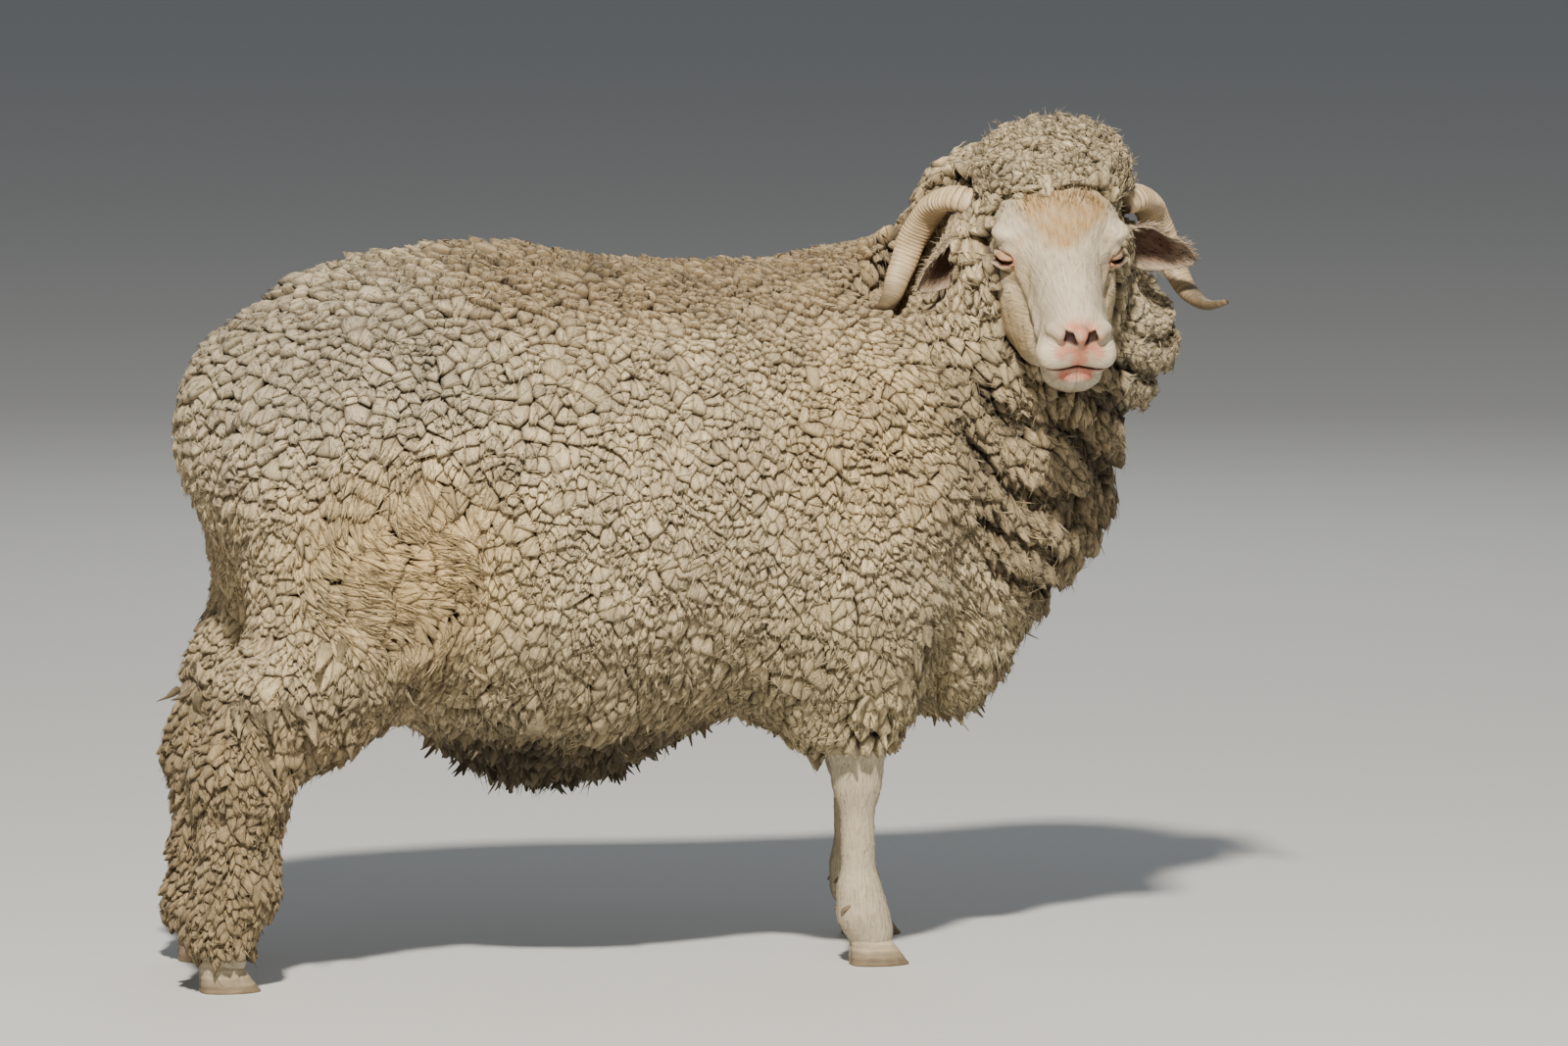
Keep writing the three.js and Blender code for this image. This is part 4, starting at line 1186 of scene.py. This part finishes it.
def reaches(p, along, across, stretch, turn, around, clumps, group):
    """How far each tuft reaches in every direction before it meets a neighbour or a crack."""
    out = np.empty((len(p), DIRECTIONS))
    for run in np.array_split(np.arange(len(p)), max(1, len(p) // 5000)):
        angle = SPOKES + turn[run, None]
        cos, sin = np.cos(angle), np.sin(angle)
        delta = p[around[run]] - p[run, None]
        u = np.einsum("nkj,nj->nk", delta, along[run]) / stretch[run, None]
        v = np.einsum("nkj,nj->nk", delta, across[run]) * stretch[run, None]
        towards = u[:, :, None] * cos[:, None] + v[:, :, None] * sin[:, None]
        towards = np.where((group[around[run]] == group[run, None])[:, :, None], towards, 0)
        half = ((u * u + v * v) / 2)[:, :, None]
        reach = np.where(towards > 1e-4, half / np.maximum(towards, 1e-4), FAR).min(axis=1)
        spoke = (along[run, None] * (cos * stretch[run, None])[..., None]
                 + across[run, None] * (sin / stretch[run, None])[..., None])
        spoke[..., 2] *= squeeze(p[run])[:, None]
        g = group[run]
        room = clumps.room(p[run], g) - clumps.gap[g] / 2
        steep = np.einsum("nkj,nmj->nkm", clumps.facing[g], spoke)
        wall = np.where(steep > 1e-3, room[:, :, None] / np.maximum(steep, 1e-3), FAR).min(axis=1)
        out[run] = np.clip(np.minimum(reach, wall), 0.8, LONGEST_REACH)
    return out


def corner_directions(reach, count):
    """The spokes that pass nearest each tuft's corners, count of them, in order."""
    share = np.cumsum(reach ** 2, axis=1)
    share = share / share[:, -1:]
    wanted = (np.arange(count) + 0.5) / count
    pick = (share[:, None, :] < wanted[None, :, None]).sum(axis=2)
    best = pick
    for step in (-1, 1):
        other = np.clip(pick + step, 0, DIRECTIONS - 1)
        better = np.take_along_axis(reach, other, 1) > np.take_along_axis(reach, best, 1)
        best = np.where(better, other, best)
    for k in range(1, count):
        best[:, k] = np.maximum(best[:, k], best[:, k - 1] + 1)
    best[:, -1] = np.minimum(best[:, -1], DIRECTIONS - 1)
    for k in range(count - 2, -1, -1):
        best[:, k] = np.minimum(best[:, k], best[:, k + 1] - 1)
    return best


CORNERS = 7
RIM_SHARE, SHOULDER_SHARE = 1.0, 0.64      # of a tuft's reach
# RING_SHADE is painted shade: the root of a tuft is darkest, as deep in the cracks.
RING_SHADE = (0.04, 0.6, 1.02)             # brightness at the root, the rim and the shoulder
TUFT_FACES = tapered(3, CORNERS)
STRAND_FACES = tapered(2, 3)
LONGEST_REACH = 21.0
SLEEVE_REACH = 9.0       # on the forelegs and low on the brisket
SLAB = 82.0              # millimetres between the deepest cracks
STAPLE_ROUND = 2.6       # how quickly a clump rises from the cracks round it
SLAB_ROUND = 6.0         # the same beside the deepest cracks
MEAN_SINK = 3.2          # sets the mean of the uneven coat at its outline

# Where each part lies on the unwrap of the skin: corner and size of its patch, axis and length.
CHARTS = {
    TRUNK: ((0.0, 0.0), (1.0, 0.46), (-470, 0, 520), (1, 0, 0), 1000),
    HIND_RIGHT: ((0.0, 0.7), (0.25, 0.3), (-320, -108, 0), (0, 0, 1), 480),
    HIND_LEFT: ((0.25, 0.7), (0.25, 0.3), (-320, 108, 0), (0, 0, 1), 480),
    FORE_RIGHT: ((0.5, 0.7), (0.25, 0.3), (308, -105, 0), (0, 0, 1), 480),
    FORE_LEFT: ((0.75, 0.7), (0.25, 0.3), (358, 105, 0), (0, 0, 1), 480),
    NECK: ((0.0, 0.46), (0.5, 0.24), (330, 12, 500), (0.6, -0.25, 0.76), 460),
}
HEAD_CHART = ((0.5, 0.46), (0.5, 0.24), 420)
PATCH = 0.003
PIECE_LIMIT = 190000     # triangles in one piece of coat


def chart(p, part):
    """The place of each point on the unwrap: round its part's axis, and along it."""
    out = np.zeros((len(p), 2))
    for index in range(RUFF + 1):
        here = part == index
        if index in CHARTS:
            corner, size, start, axis, length = CHARTS[index]
            axis = unit(np.array(axis, float))
            q = p[here] - np.array(start, float)
            side = unit(np.cross(axis, [0.3, 1.0, 0.2]))
        else:
            corner, size, length = HEAD_CHART
            q = into_head(p[here]) + np.array([200.0, 0, 20.0])
            axis, side = np.array([1.0, 0, 0]), np.array([0, 0, -1.0])
        other = np.cross(axis, side)
        around = np.arctan2(q @ other, q @ side) / (2 * np.pi) + 0.5
        along = np.clip(q @ axis / length, 0.01, 0.99)
        out[here] = np.array(corner) + np.array(size) * np.stack([around, along], axis=1)
    return np.clip(out, PATCH, 1 - PATCH)


def keep_coat(name, points, faces, tint, lie, bake, part):
    """Stores tufts, of shape (tufts, vertices, ...), as pieces small enough to bake."""
    count, size = points.shape[:2]
    order = np.argsort(part * 10000 + points[:, 0, 0], kind="stable")
    pieces = int(np.ceil(count * len(faces) / PIECE_LIMIT))
    for number, run in enumerate(np.array_split(order, pieces)):
        index = faces[None] + (np.arange(len(run)) * size)[:, None, None]
        maps = {"OFBake": bake[run].reshape(-1, 2), "lie": lie[run].reshape(-1, 2)}
        piece(f"{name}_{number + 1}", points[run].reshape(-1, 3), index.reshape(-1, 3),
              tint[run].reshape(-1, 3), "short_hair" if "hair" in name else "fleece", (), maps)


def relaxed(points, staples, turns):
    """Evens out the sites of the tufts; gives everything about them that the tufts need."""
    for turn_number in range(turns + 1):
        points, normal = settle(body, points, 1)
        part = part_of(points)
        along = coat_flow(points, normal, part)
        across = np.cross(normal, along)
        kind = coat_kind(points, part)
        around = neighbours(points, points, TUFTS_AROUND + 1)[:, 1:]
        group = staples.member(points)
        turn = chance.uniform(0, 2 * np.pi, len(points))
        reach = reaches(points, along, across, kind["stretch"], turn, around, staples, group)
        if turn_number < turns:
            angle = SPOKES + turn[:, None]
            weight = (reach ** 2).sum(axis=1)
            u = 2 / 3 * (reach ** 3 * np.cos(angle)).sum(axis=1) / weight * kind["stretch"]
            v = 2 / 3 * (reach ** 3 * np.sin(angle)).sum(axis=1) / weight / kind["stretch"]
            points = points + along * u[:, None] + across * v[:, None]
    kind.update(p=points, normal=normal, along=along, across=across, part=part, turn=turn,
                reach=reach, group=group)
    kept = woolly(points, part)
    return {key: value[kept] for key, value in kind.items()}


def even_sites(points, quads, spacing, turns):
    """Sites spread evenly over the coat at that spacing, for the clumps."""
    sites = scatter(points, quads, spacing / np.sqrt(squeeze(points)))
    for _ in range(turns):
        drawn = squeezed(sites)
        around = neighbours(drawn, drawn, 7)[:, 1:]
        push = drawn[:, None] - drawn[around]
        distance = np.linalg.norm(push, axis=2, keepdims=True)
        reach = distance.mean(axis=1, keepdims=True) * 1.15
        move = (push / np.maximum(distance, 1) * np.maximum(reach - distance, 0)).mean(axis=1)
        move[:, 2] /= squeeze(sites)
        sites, _ = settle(body, sites + move, 1)
    return sites


def fleece(points, quads):
    """The whole fleece as closed tufts, clumped into staples with cracks between them."""
    kind = coat_kind(points, part_of(points))
    slabs = even_sites(points, quads, np.full(len(points), SLAB), 2)
    centres = even_sites(points, quads, kind["staple"], 3)
    crack = coat_kind(centres, part_of(centres))["crack"]
    staples = Staples(centres, slabs, crack)
    centres = centres[woolly(centres, part_of(centres))]
    points, quads = without(points, quads, ~woolly(points, part_of(points)))
    kind = coat_kind(points, part_of(points))
    share = np.clip(1 - (kind["size"] / kind["staple"]) ** 2, 0.2, 1)
    sites = scatter(points, quads, kind["size"] / np.sqrt(share))
    return grow_tufts(relaxed(np.concatenate([centres, sites]), staples, 3), staples)


def swell(places, group, staples):
    """How high the coat stands at these places above the cracks round its clump, from 0 to 1."""
    room = staples.room(places, group)
    low = 1 - np.exp(-np.maximum(room, 0) / STAPLE_ROUND)
    slab = 1 - staples.slab_edge[group] * np.exp(-np.maximum(room, 0) / SLAB_ROUND)
    return 0.6 * low.min(axis=1) + 0.4 * slab.min(axis=1)


def grow_tufts(kind, staples):
    """Makes each tuft a low scale with a ragged lip, laid over the root of the next one."""
    p, normal, along, across = (kind[key] for key in ("p", "normal", "along", "across"))
    count = len(p)
    pick = corner_directions(kind["reach"], CORNERS)
    angle = SPOKES[pick] + kind["turn"][:, None]
    far = np.take_along_axis(kind["reach"], pick, 1)
    sleeve = is_fore(kind["part"]) | ((p[:, 0] > 190) & (p[:, 2] < 300))
    far = np.minimum(far, np.where(sleeve, SLEEVE_REACH, LONGEST_REACH)[:, None])
    stretch = kind["stretch"][:, None]
    spoke = (along[:, None] * (np.cos(angle) * stretch)[..., None]
             + across[:, None] * (np.sin(angle) / stretch)[..., None])
    size = far.mean(axis=1)
    ahead = np.maximum(np.cos(angle), 0)
    behind = np.maximum(-np.cos(angle), 0)
    edge = (far + 0.3) * (1 + kind["lap"][:, None] * ahead ** 1.5 + 0.12 * behind)
    edge = edge * np.clip(chance.normal(1, 0.11, far.shape), 0.75, 1.25)
    lips = (p[:, None] + spoke * edge[..., None]).reshape(-1, 3)
    drop = np.clip(body(lips), -5, 5).reshape(far.shape)
    relief = coat_relief(p, kind["part"])
    base = relief - MEAN_SINK + chance.normal(0, 1, count) * kind["uneven"]
    middle_swell = swell(p, kind["group"], staples)
    inside = p[:, None] + spoke * (0.93 * far)[..., None]
    clump = np.repeat(kind["group"], CORNERS)
    rim_swell = swell(inside.reshape(-1, 3), clump, staples).reshape(far.shape)
    fullness = np.clip(size / (0.5 * kind["size"]), 0.4, 1.3)
    height = kind["height"] * fullness * chance.uniform(0.6, 1.4, count)
    tilt = kind["tilt"] * chance.uniform(0.5, 1.5, count)
    shift = (along * (kind["lean"] * chance.uniform(0.4, 1.6, count))[:, None]
             + np.array([0, 0, -1.0]) * (kind["hang"] * chance.uniform(0.3, 1.6, count))[:, None]
             + chance.normal(0, 0.5, (count, 3)))

    def ring(share):
        """The corners at that share of the tuft's reach, on its rounded and tilted top."""
        out = spoke * (edge * share)[..., None]
        u = edge * share * np.cos(angle)
        swollen = mix(middle_swell[:, None], rim_swell, share ** 1.5)
        level = base[:, None] + kind["dome"][:, None] * swollen + height[:, None] * (1 - share ** 2.3)
        level = level + tilt[:, None] * np.clip(u / size[:, None], -1, 1.5)
        level = level - drop * share ** 2 + chance.normal(0, 0.3, u.shape)
        return p[:, None] + out + normal[:, None] * level[..., None] + shift[:, None] * (1 - 0.8 * share)

    ground = base[:, None] - kind["deep"][:, None] - drop
    root = p[:, None] + spoke * (far + 0.6)[..., None] + normal[:, None] * ground[..., None]
    rim, shoulder = ring(RIM_SHARE), ring(SHOULDER_SHARE)
    tip = ring(0.0).mean(axis=1, keepdims=True)
    tufts = np.concatenate([root, rim, shoulder, tip], axis=1)

    shade = chance.normal(1, 0.07, len(staples.centres))[kind["group"]] * chance.normal(1, 0.09, count)
    # Painted shade: tufts are darker where the coat lies sunk, in the folds and crevices round the neck,
    # under the belly and beside the horns.
    crease_shaded_tint = coat_tint(p, kind["part"]) * (shade * mix(0.4, 1.0, ramp(relief, -13, -2)))[:, None]
    # Painted shade and highlight: the root is darkest, the rim is darker on its upstream side and beside
    # the cracks, and the lip over the next tuft is lighter. The painted shade is also made warmer in
    # tone.
    dark = np.repeat(RING_SHADE, CORNERS)[None] * np.ones((count, 1))
    lit = mix(0.6, 1.22, (1 + np.cos(angle)) / 2) * (0.7 + 0.3 * ramp(rim_swell, 0.1, 0.75))
    dark[:, CORNERS:2 * CORNERS] *= lit
    dark[:, 2 * CORNERS:] *= mix(1, lit, 0.5)
    dark = np.concatenate([dark, np.full((count, 1), 1.03)], axis=1)
    warm = np.array([1.0, 0.93, 0.82]) ** (1.3 * np.clip(1 - dark[..., None], 0, 1))
    tint = crease_shaded_tint[:, None] * dark[..., None] * warm
    local = tufts - p[:, None]
    u = np.einsum("nkj,nj->nk", local, along)
    v = np.einsum("nkj,nj->nk", local, across)
    swerve = chance.normal(0, 0.35, (count, 1))
    curve = chance.normal(0, 0.35, (count, 1)) / size[:, None]
    v = v + swerve * u + curve * u * u
    v = v / (1 - 0.32 * np.clip(u / size[:, None], -1, 1))
    lie = np.stack([u, v], axis=2) / 1000 + chance.uniform(0, 5, (count, 1, 2))
    steps = 2 * np.pi * np.arange(CORNERS) / CORNERS
    circle = np.stack([np.cos(steps), np.sin(steps)], axis=1) * PATCH / 2
    spots = np.concatenate([circle, 0.9 * circle, 0.55 * circle, np.zeros((1, 2))])
    bake = chart(p, kind["part"])[:, None] + spots[None]
    keep_coat("fleece", tufts, TUFT_FACES, tint, lie, bake, kind["part"])
    # The tint handed on to the fibres, wisps and locks keeps this painted crease shade.
    kind.update(rim=rim, shoulder=shoulder, ahead=np.cos(angle), tip=tip[:, 0], tint=crease_shaded_tint)
    return kind


def strands(name, start, direction, bend, length, width, flat, tint, part, root):
    """Thin closed strands, three-sided, bent halfway and tapering to a point."""
    count = len(start)
    side = unit(np.cross(direction, bend + 1e-6))
    other = unit(np.cross(direction, side))
    mid = start + (direction * 0.55 + bend * 0.12) * length[:, None]
    end = start + (direction * 0.92 + bend * 0.4) * length[:, None]
    turn = 2 * np.pi * np.arange(3)[:, None] / 3
    ring = (side[:, None] * np.cos(turn) * width[:, None, None]
            + other[:, None] * np.sin(turn) * (width * flat)[:, None, None])
    points = np.concatenate([start[:, None] + ring, mid[:, None] + 0.75 * ring, end[:, None]], axis=1)
    # Painted shade at the root of each strand and a painted highlight at its tip.
    colour = tint[:, None] * np.array([0.55] * 3 + [0.96] * 3 + [1.12])[None, :, None]
    lie = np.zeros((count, 7, 2))
    lie[:, 3:6, 0] = length[:, None] * 0.00055
    lie[:, 6, 0] = length * 0.00092
    lie[:, :3, 1] = lie[:, 3:6, 1] = width[:, None] * np.array([-1, 0, 1]) / 1000
    lie = lie + chance.uniform(0, 5, (count, 1, 2))
    spots = np.array([(-1, -1), (0, -1), (1, -1), (-1, 0.3), (0, 0.3), (1, 0.3), (0, 1)]) * PATCH / 2
    bake = np.clip(chart(root, part)[:, None] + spots[None], 0, 1)
    keep_coat(name, points, STRAND_FACES, colour, lie, bake, part)


def spread_over(weight, count):
    """So many tufts picked by their weight, and a corner of each."""
    pick = chance.choice(len(weight), count, p=weight / weight.sum())
    return pick, chance.integers(0, CORNERS, count)


def wisps(tufts, count):
    """Fine ends of wool that stand out of the tufts' rims and crowns."""
    pick, corner = spread_over(tufts["wispy"], count)
    share = chance.uniform(0, 1, count)[:, None]
    start = mix(tufts["shoulder"][pick, corner], tufts["rim"][pick, corner], share)
    normal, along = (tufts[key][pick] for key in ("normal", "along"))
    outward = unit(start - tufts["p"][pick])
    under = tufts["hang"][pick, None] / 9
    direction = unit(0.6 * along + 0.35 * normal + 0.3 * outward + chance.normal(0, 0.35, (count, 3))
                     + np.array([0, 0, -0.9]) * under)
    bend = unit(along + np.array([0, 0, -0.6]) + chance.normal(0, 0.5, (count, 3)))
    cap = (tufts["part"][pick] >= FACE) * ramp(into_head(start)[:, 2], 10, 60)
    length = chance.uniform(5, 11, count) * (1 + 1.3 * under[:, 0] + 0.9 * cap)
    width = chance.uniform(0.35, 0.8, count) * (1 + 0.5 * under[:, 0])
    tint = tufts["tint"][pick] * chance.normal(1.05, 0.1, (count, 1))
    strands("wisps", start - direction * 1.5, direction, bend, length, width, 0.7, tint,
            tufts["part"][pick], tufts["p"][pick])


def fibres(tufts, count):
    """Strands of wool that lie over the tufts and out past their lips."""
    pick, corner = spread_over(tufts["size"] ** 2 * tufts["dense"], count)
    share = chance.uniform(0, 0.95, count)[:, None] ** 0.6
    start = mix(tufts["tip"][pick], tufts["shoulder"][pick, corner], share)
    normal, across, curly = (tufts[key][pick] for key in ("normal", "across", "curly"))
    swerve = chance.normal(0, 1, count) * curly
    ahead = tufts["ahead"][pick] + chance.gumbel(0, 0.35 + curly[:, None], (count, CORNERS))
    lip = tufts["rim"][pick, ahead.argmax(axis=1)]
    reach = np.linalg.norm(lip - start, axis=1)
    onward = unit(lip - start) + across * swerve[:, None]
    direction = unit(onward + 0.34 * normal)
    curl = swerve + chance.normal(0, 1.3, count) * curly
    bend = unit(onward + across * curl[:, None] - 0.6 * normal + np.array([0, 0, -0.3]))
    length = np.clip(reach * chance.uniform(1.0, 1.5, count), 4.5, 1.7 * tufts["fibre"][pick])
    width = 0.5 + 0.9 * chance.uniform(0, 1, count) ** 2
    shade = np.clip(chance.normal(0.97, 0.24, (count, 1)), 0.4, 1.5)
    warm = np.array([1.0, 0.985, 0.96]) ** chance.normal(0, 1.5, (count, 1))
    strands("fibres", start, direction, bend, length, width, 0.55,
            tufts["tint"][pick] * shade * warm, tufts["part"][pick], tufts["p"][pick])


def locks(tufts, count):
    """Long locks that hang from the belly, the brisket and the hems of the leg wool."""
    weight = tufts["locky"] * ramp(tufts["normal"][:, 2], 0.4, 0.0)
    pick = chance.choice(len(weight), count, p=weight / weight.sum())
    rings, sides = 7, 6
    root, normal, part = (tufts[key][pick] for key in ("p", "normal", "part"))
    short = mix(1.0, 0.6, is_fore(part) * 1.0)
    length = chance.uniform(20, 38, count) * short
    below = ramp(normal[:, 2], -0.2, -0.6)
    start = root - normal * (mix(0.16, 0.62, below) * length)[:, None] + chance.normal(0, 3, (count, 3))
    down = np.array([0, 0, -1.0]) + 0.1 * normal + 0.3 * is_fore(part)[:, None] * normal
    down = unit(down + chance.normal(0, 0.16, (count, 3)))
    sway = chance.normal(0, 0.34, (count, 3)) * np.array([1, 1, 0.3])
    width = chance.uniform(3.0, 9.0, count) * mix(1.0, 0.7, is_fore(part) * 1.0)
    side = unit(np.cross(down, sway))
    other = np.cross(down, side)
    t = np.linspace(0, 0.94, rings)
    reach = down[:, None] * t[:, None] + sway[:, None] * (t * t)[:, None]
    middle = start[:, None] + reach * length[:, None, None]
    lumpy = np.clip(chance.normal(1, 0.14, (count, rings)), 0.6, 1.4)
    thin = (0.75 + 0.25 * np.sin(5 * t)) * (1 - 0.8 * t ** 4)[None] * lumpy * width[:, None]
    a = 2 * np.pi * np.arange(sides) / sides
    around = (side[:, None, None] * np.cos(a)[:, None]
              + 0.75 * other[:, None, None] * np.sin(a)[:, None])
    uneven = np.clip(chance.normal(1, 0.12, (count, rings, sides, 1)), 0.7, 1.3)
    loops = middle[:, :, None] + around * thin[:, :, None, None] * uneven
    end = start + (0.97 * down + 0.95 * sway) * length[:, None]
    points = np.concatenate([loops.reshape(count, -1, 3), end[:, None]], axis=1)
    # Painted shade: each lock is darker towards its root, under the body.
    shade = np.concatenate([np.repeat(mix(0.5, 1.0, ramp(t, 0.1, 0.7)), sides), [1.05]])
    tint = (tufts["tint"][pick] * chance.normal(1.0, 0.12, (count, 1)))[:, None] * shade[None, :, None]
    onward = np.append(np.repeat(t, sides), 1)[None, :, None]
    turned_by = np.append(np.tile(a, rings), 0)[None, :, None]
    lie = np.concatenate([onward * length[:, None, None], turned_by * width[:, None, None]], axis=2)
    lie = lie / 1000 + chance.uniform(0, 5, (count, 1, 2))
    spots = np.stack([np.append(np.tile(np.cos(a), rings), 0),
                      np.append(np.repeat(t, sides) * 2 - 1, 1)], axis=1) * PATCH / 2
    bake = chart(root, part)[:, None] + spots[None]
    keep_coat("locks", points, tapered(rings, sides), tint, lie, bake, part)


def hair(points, quads):
    """Short hair that breaks the outline of the face and the lower forelegs."""
    part = part_of(points)
    h = into_head(points)
    bare = h[:, 0] > 95
    for side in SIDES.values():
        e = eye_place(h, side)
        bare |= (np.hypot(e[:, 1] / 20, e[:, 2] / 15) < 1) & (e[:, 0] > 0)
    points, quads = without(
        points, quads, woolly(points, part) | (points[:, 2] <= 34) | (bare & (part == FACE)))
    part = part_of(points)
    h = into_head(points)
    edge = ramp(np.abs(ruff(h) - face(h)), 30, 6) * (part == FACE)
    sites = scatter(points, quads, mix(4.2, 3.0, edge))
    sites, normal = settle(skin_distance, sites, 2)
    part = part_of(sites)
    along = coat_flow(sites, normal, part)
    count = len(sites)
    h = into_head(sites)
    edge = ramp(np.abs(ruff(h) - face(h)), 26, 3) * (part == FACE)
    length = chance.uniform(3.5, 7.0, count) * (1 + 1.8 * edge)
    direction = unit(along + normal * (0.14 + 0.5 * edge)[:, None] + chance.normal(0, 0.12, (count, 3)))
    bend = unit(along - 0.4 * normal + chance.normal(0, 0.3, (count, 3)))
    tint = coat_and_face_tint(sites, part) * chance.normal(1.08, 0.1, (count, 1))
    width = chance.uniform(0.3, 0.55, count)
    strands("hair", sites - 0.4 * normal, direction, bend, length, width, 0.5, tint, part, sites)


def ear_hair(count):
    """Soft hair over the ears, longest round their rims."""
    for side_name in SIDES:
        points, faces, tint, _, tipward = ear_shape(side_name)
        a, b, c = corners_of(points, faces)
        face_normal = np.cross(b - a, c - a)
        area = np.linalg.norm(face_normal, axis=1)
        pick = chance.choice(len(faces), count, p=area / area.sum())
        u, v = np.sort(chance.uniform(size=(2, count, 1)), axis=0)
        start = a[pick] * u + b[pick] * (v - u) + c[pick] * (1 - v)
        normal = unit(face_normal[pick])
        middle = points.mean(axis=0)
        out = start - middle
        out = out - np.outer(out @ tipward, tipward)
        rim = ramp(np.linalg.norm(out, axis=1), 12, 22)
        direction = unit(0.8 * tipward + 0.3 * normal + unit(out) * (0.9 * rim)[:, None]
                         + chance.normal(0, 0.2, (count, 3)))
        bend = unit(tipward + chance.normal(0, 0.4, (count, 3)))
        length = chance.uniform(4, 8, count) * (1 + 0.9 * rim)
        width = chance.uniform(0.3, 0.6, count)
        colour = toward(tint[faces[pick, 0]], EAR_RIM, 0.5 * rim) * chance.normal(1.05, 0.1, (count, 1))
        strands("ear_hair_" + side_name, start - 0.5 * normal, direction, bend, length, width,
                0.5, colour, np.full(count, FACE), start)


# ---- setting, light and camera ----------------------------------------------
def placed(name, data, place, direction):
    """An object in the scene that looks from its place, in metres, in that direction."""
    obj = bpy.data.objects.new(name, data)
    obj.location = place
    obj.rotation_euler = direction.to_track_quat("-Z", "Y").to_euler()
    bpy.context.scene.collection.objects.link(obj)
    return obj


FLOOR_HALF = 30.0                                # metres
LAMPS = (                                        # name, place, width, power, colour
    ("key", (-1.5, -4.7, 5.4), 0.4, 1080, (1.0, 0.94, 0.84)),
    ("fill", (4.5, -4.5, 2.2), 4.0, 18, (0.92, 0.96, 1.0)),
    ("rim", (1.5, 4.5, 3.4), 2.5, 60, (0.92, 0.96, 1.0)),
)
LAMPS_AIM = Vector((0.05, 0, 0.45))              # metres


def studio():
    """A pale flat floor, a key light, a fill, a rim light from behind and a dim sky."""
    corners = [(x * FLOOR_HALF, y * FLOOR_HALF, 0) for x, y in ((-1, -1), (1, -1), (1, 1), (-1, 1))]
    mesh = bpy.data.meshes.new("floor")
    mesh.from_pydata(corners, [], [(0, 1, 2, 3)])
    floor = bpy.data.objects.new("floor", mesh)
    bpy.context.scene.collection.objects.link(floor)
    material = bpy.data.materials.new("floor")
    material.use_nodes = True
    shader = material.node_tree.nodes["Principled BSDF"]
    shader.inputs["Base Color"].default_value = (0.55, 0.55, 0.53, 1)
    shader.inputs["Roughness"].default_value = 0.9
    mesh.materials.append(material)
    world = bpy.data.worlds.new("studio")
    world.use_nodes = True
    sky = world.node_tree.nodes["Background"].inputs
    sky["Color"].default_value = (0.86, 0.92, 1.0, 1)
    sky["Strength"].default_value = 0.2
    bpy.context.scene.world = world
    for name, place, width, power, colour in LAMPS:
        light = bpy.data.lights.new(name, "AREA")
        light.size = width
        light.energy = power
        light.color = colour
        placed(name, light, place, LAMPS_AIM - Vector(place))


CAMERA_AZIMUTH, CAMERA_PITCH = -15, 5.8      # degrees
CAMERA_DISTANCE = 8.5                        # metres
CAMERA_TARGET = (240, -60, 470)              # millimetres on the animal's axes
CAMERA_LENS = 183.6


def camera():
    view = bpy.data.cameras.new("camera")
    view.lens = CAMERA_LENS
    view.sensor_width = 36
    target = Vector(in_frame(np.array(CAMERA_TARGET, float)))
    a, e = math.radians(CAMERA_AZIMUTH), math.radians(CAMERA_PITCH)
    back = Vector((math.sin(a) * math.cos(e), -math.cos(a) * math.cos(e), math.sin(e)))
    bpy.context.scene.camera = placed("camera", view, target + back * CAMERA_DISTANCE, -back)


# ---- putting it together ----------------------------------------------------
FIBRES = 55000
WISPS = 9000
LOCKS = 1400
EAR_HAIRS = 1000

camera()
studio()
build_skin()
for side_name in SIDES:
    horn_piece(side_name)
    eye_piece(side_name)
for foot, (sole, spare) in FEET.items():
    outer = 1 if sole[1] > 0 else -1
    for which, outward in (("outer", outer), ("inner", -outer)):
        claw_piece(f"hoof_{foot}_{which}", sole, outward, f"claw_{foot}_{which}")
        dewclaw_piece(f"spur_{foot}_{which}", spare, outward, f"dewclaw_{foot}_{which}")

outline_points, outline_quads = surface(body, [-460, -290, 10], [680, 290, 930], SITE_GRID)
outline_points, _ = settle(body, outline_points, 2)
tufts = fleece(outline_points, outline_quads)
fibres(tufts, FIBRES)
wisps(tufts, WISPS)
locks(tufts, LOCKS)
hair(outline_points, outline_quads)
ear_hair(EAR_HAIRS)
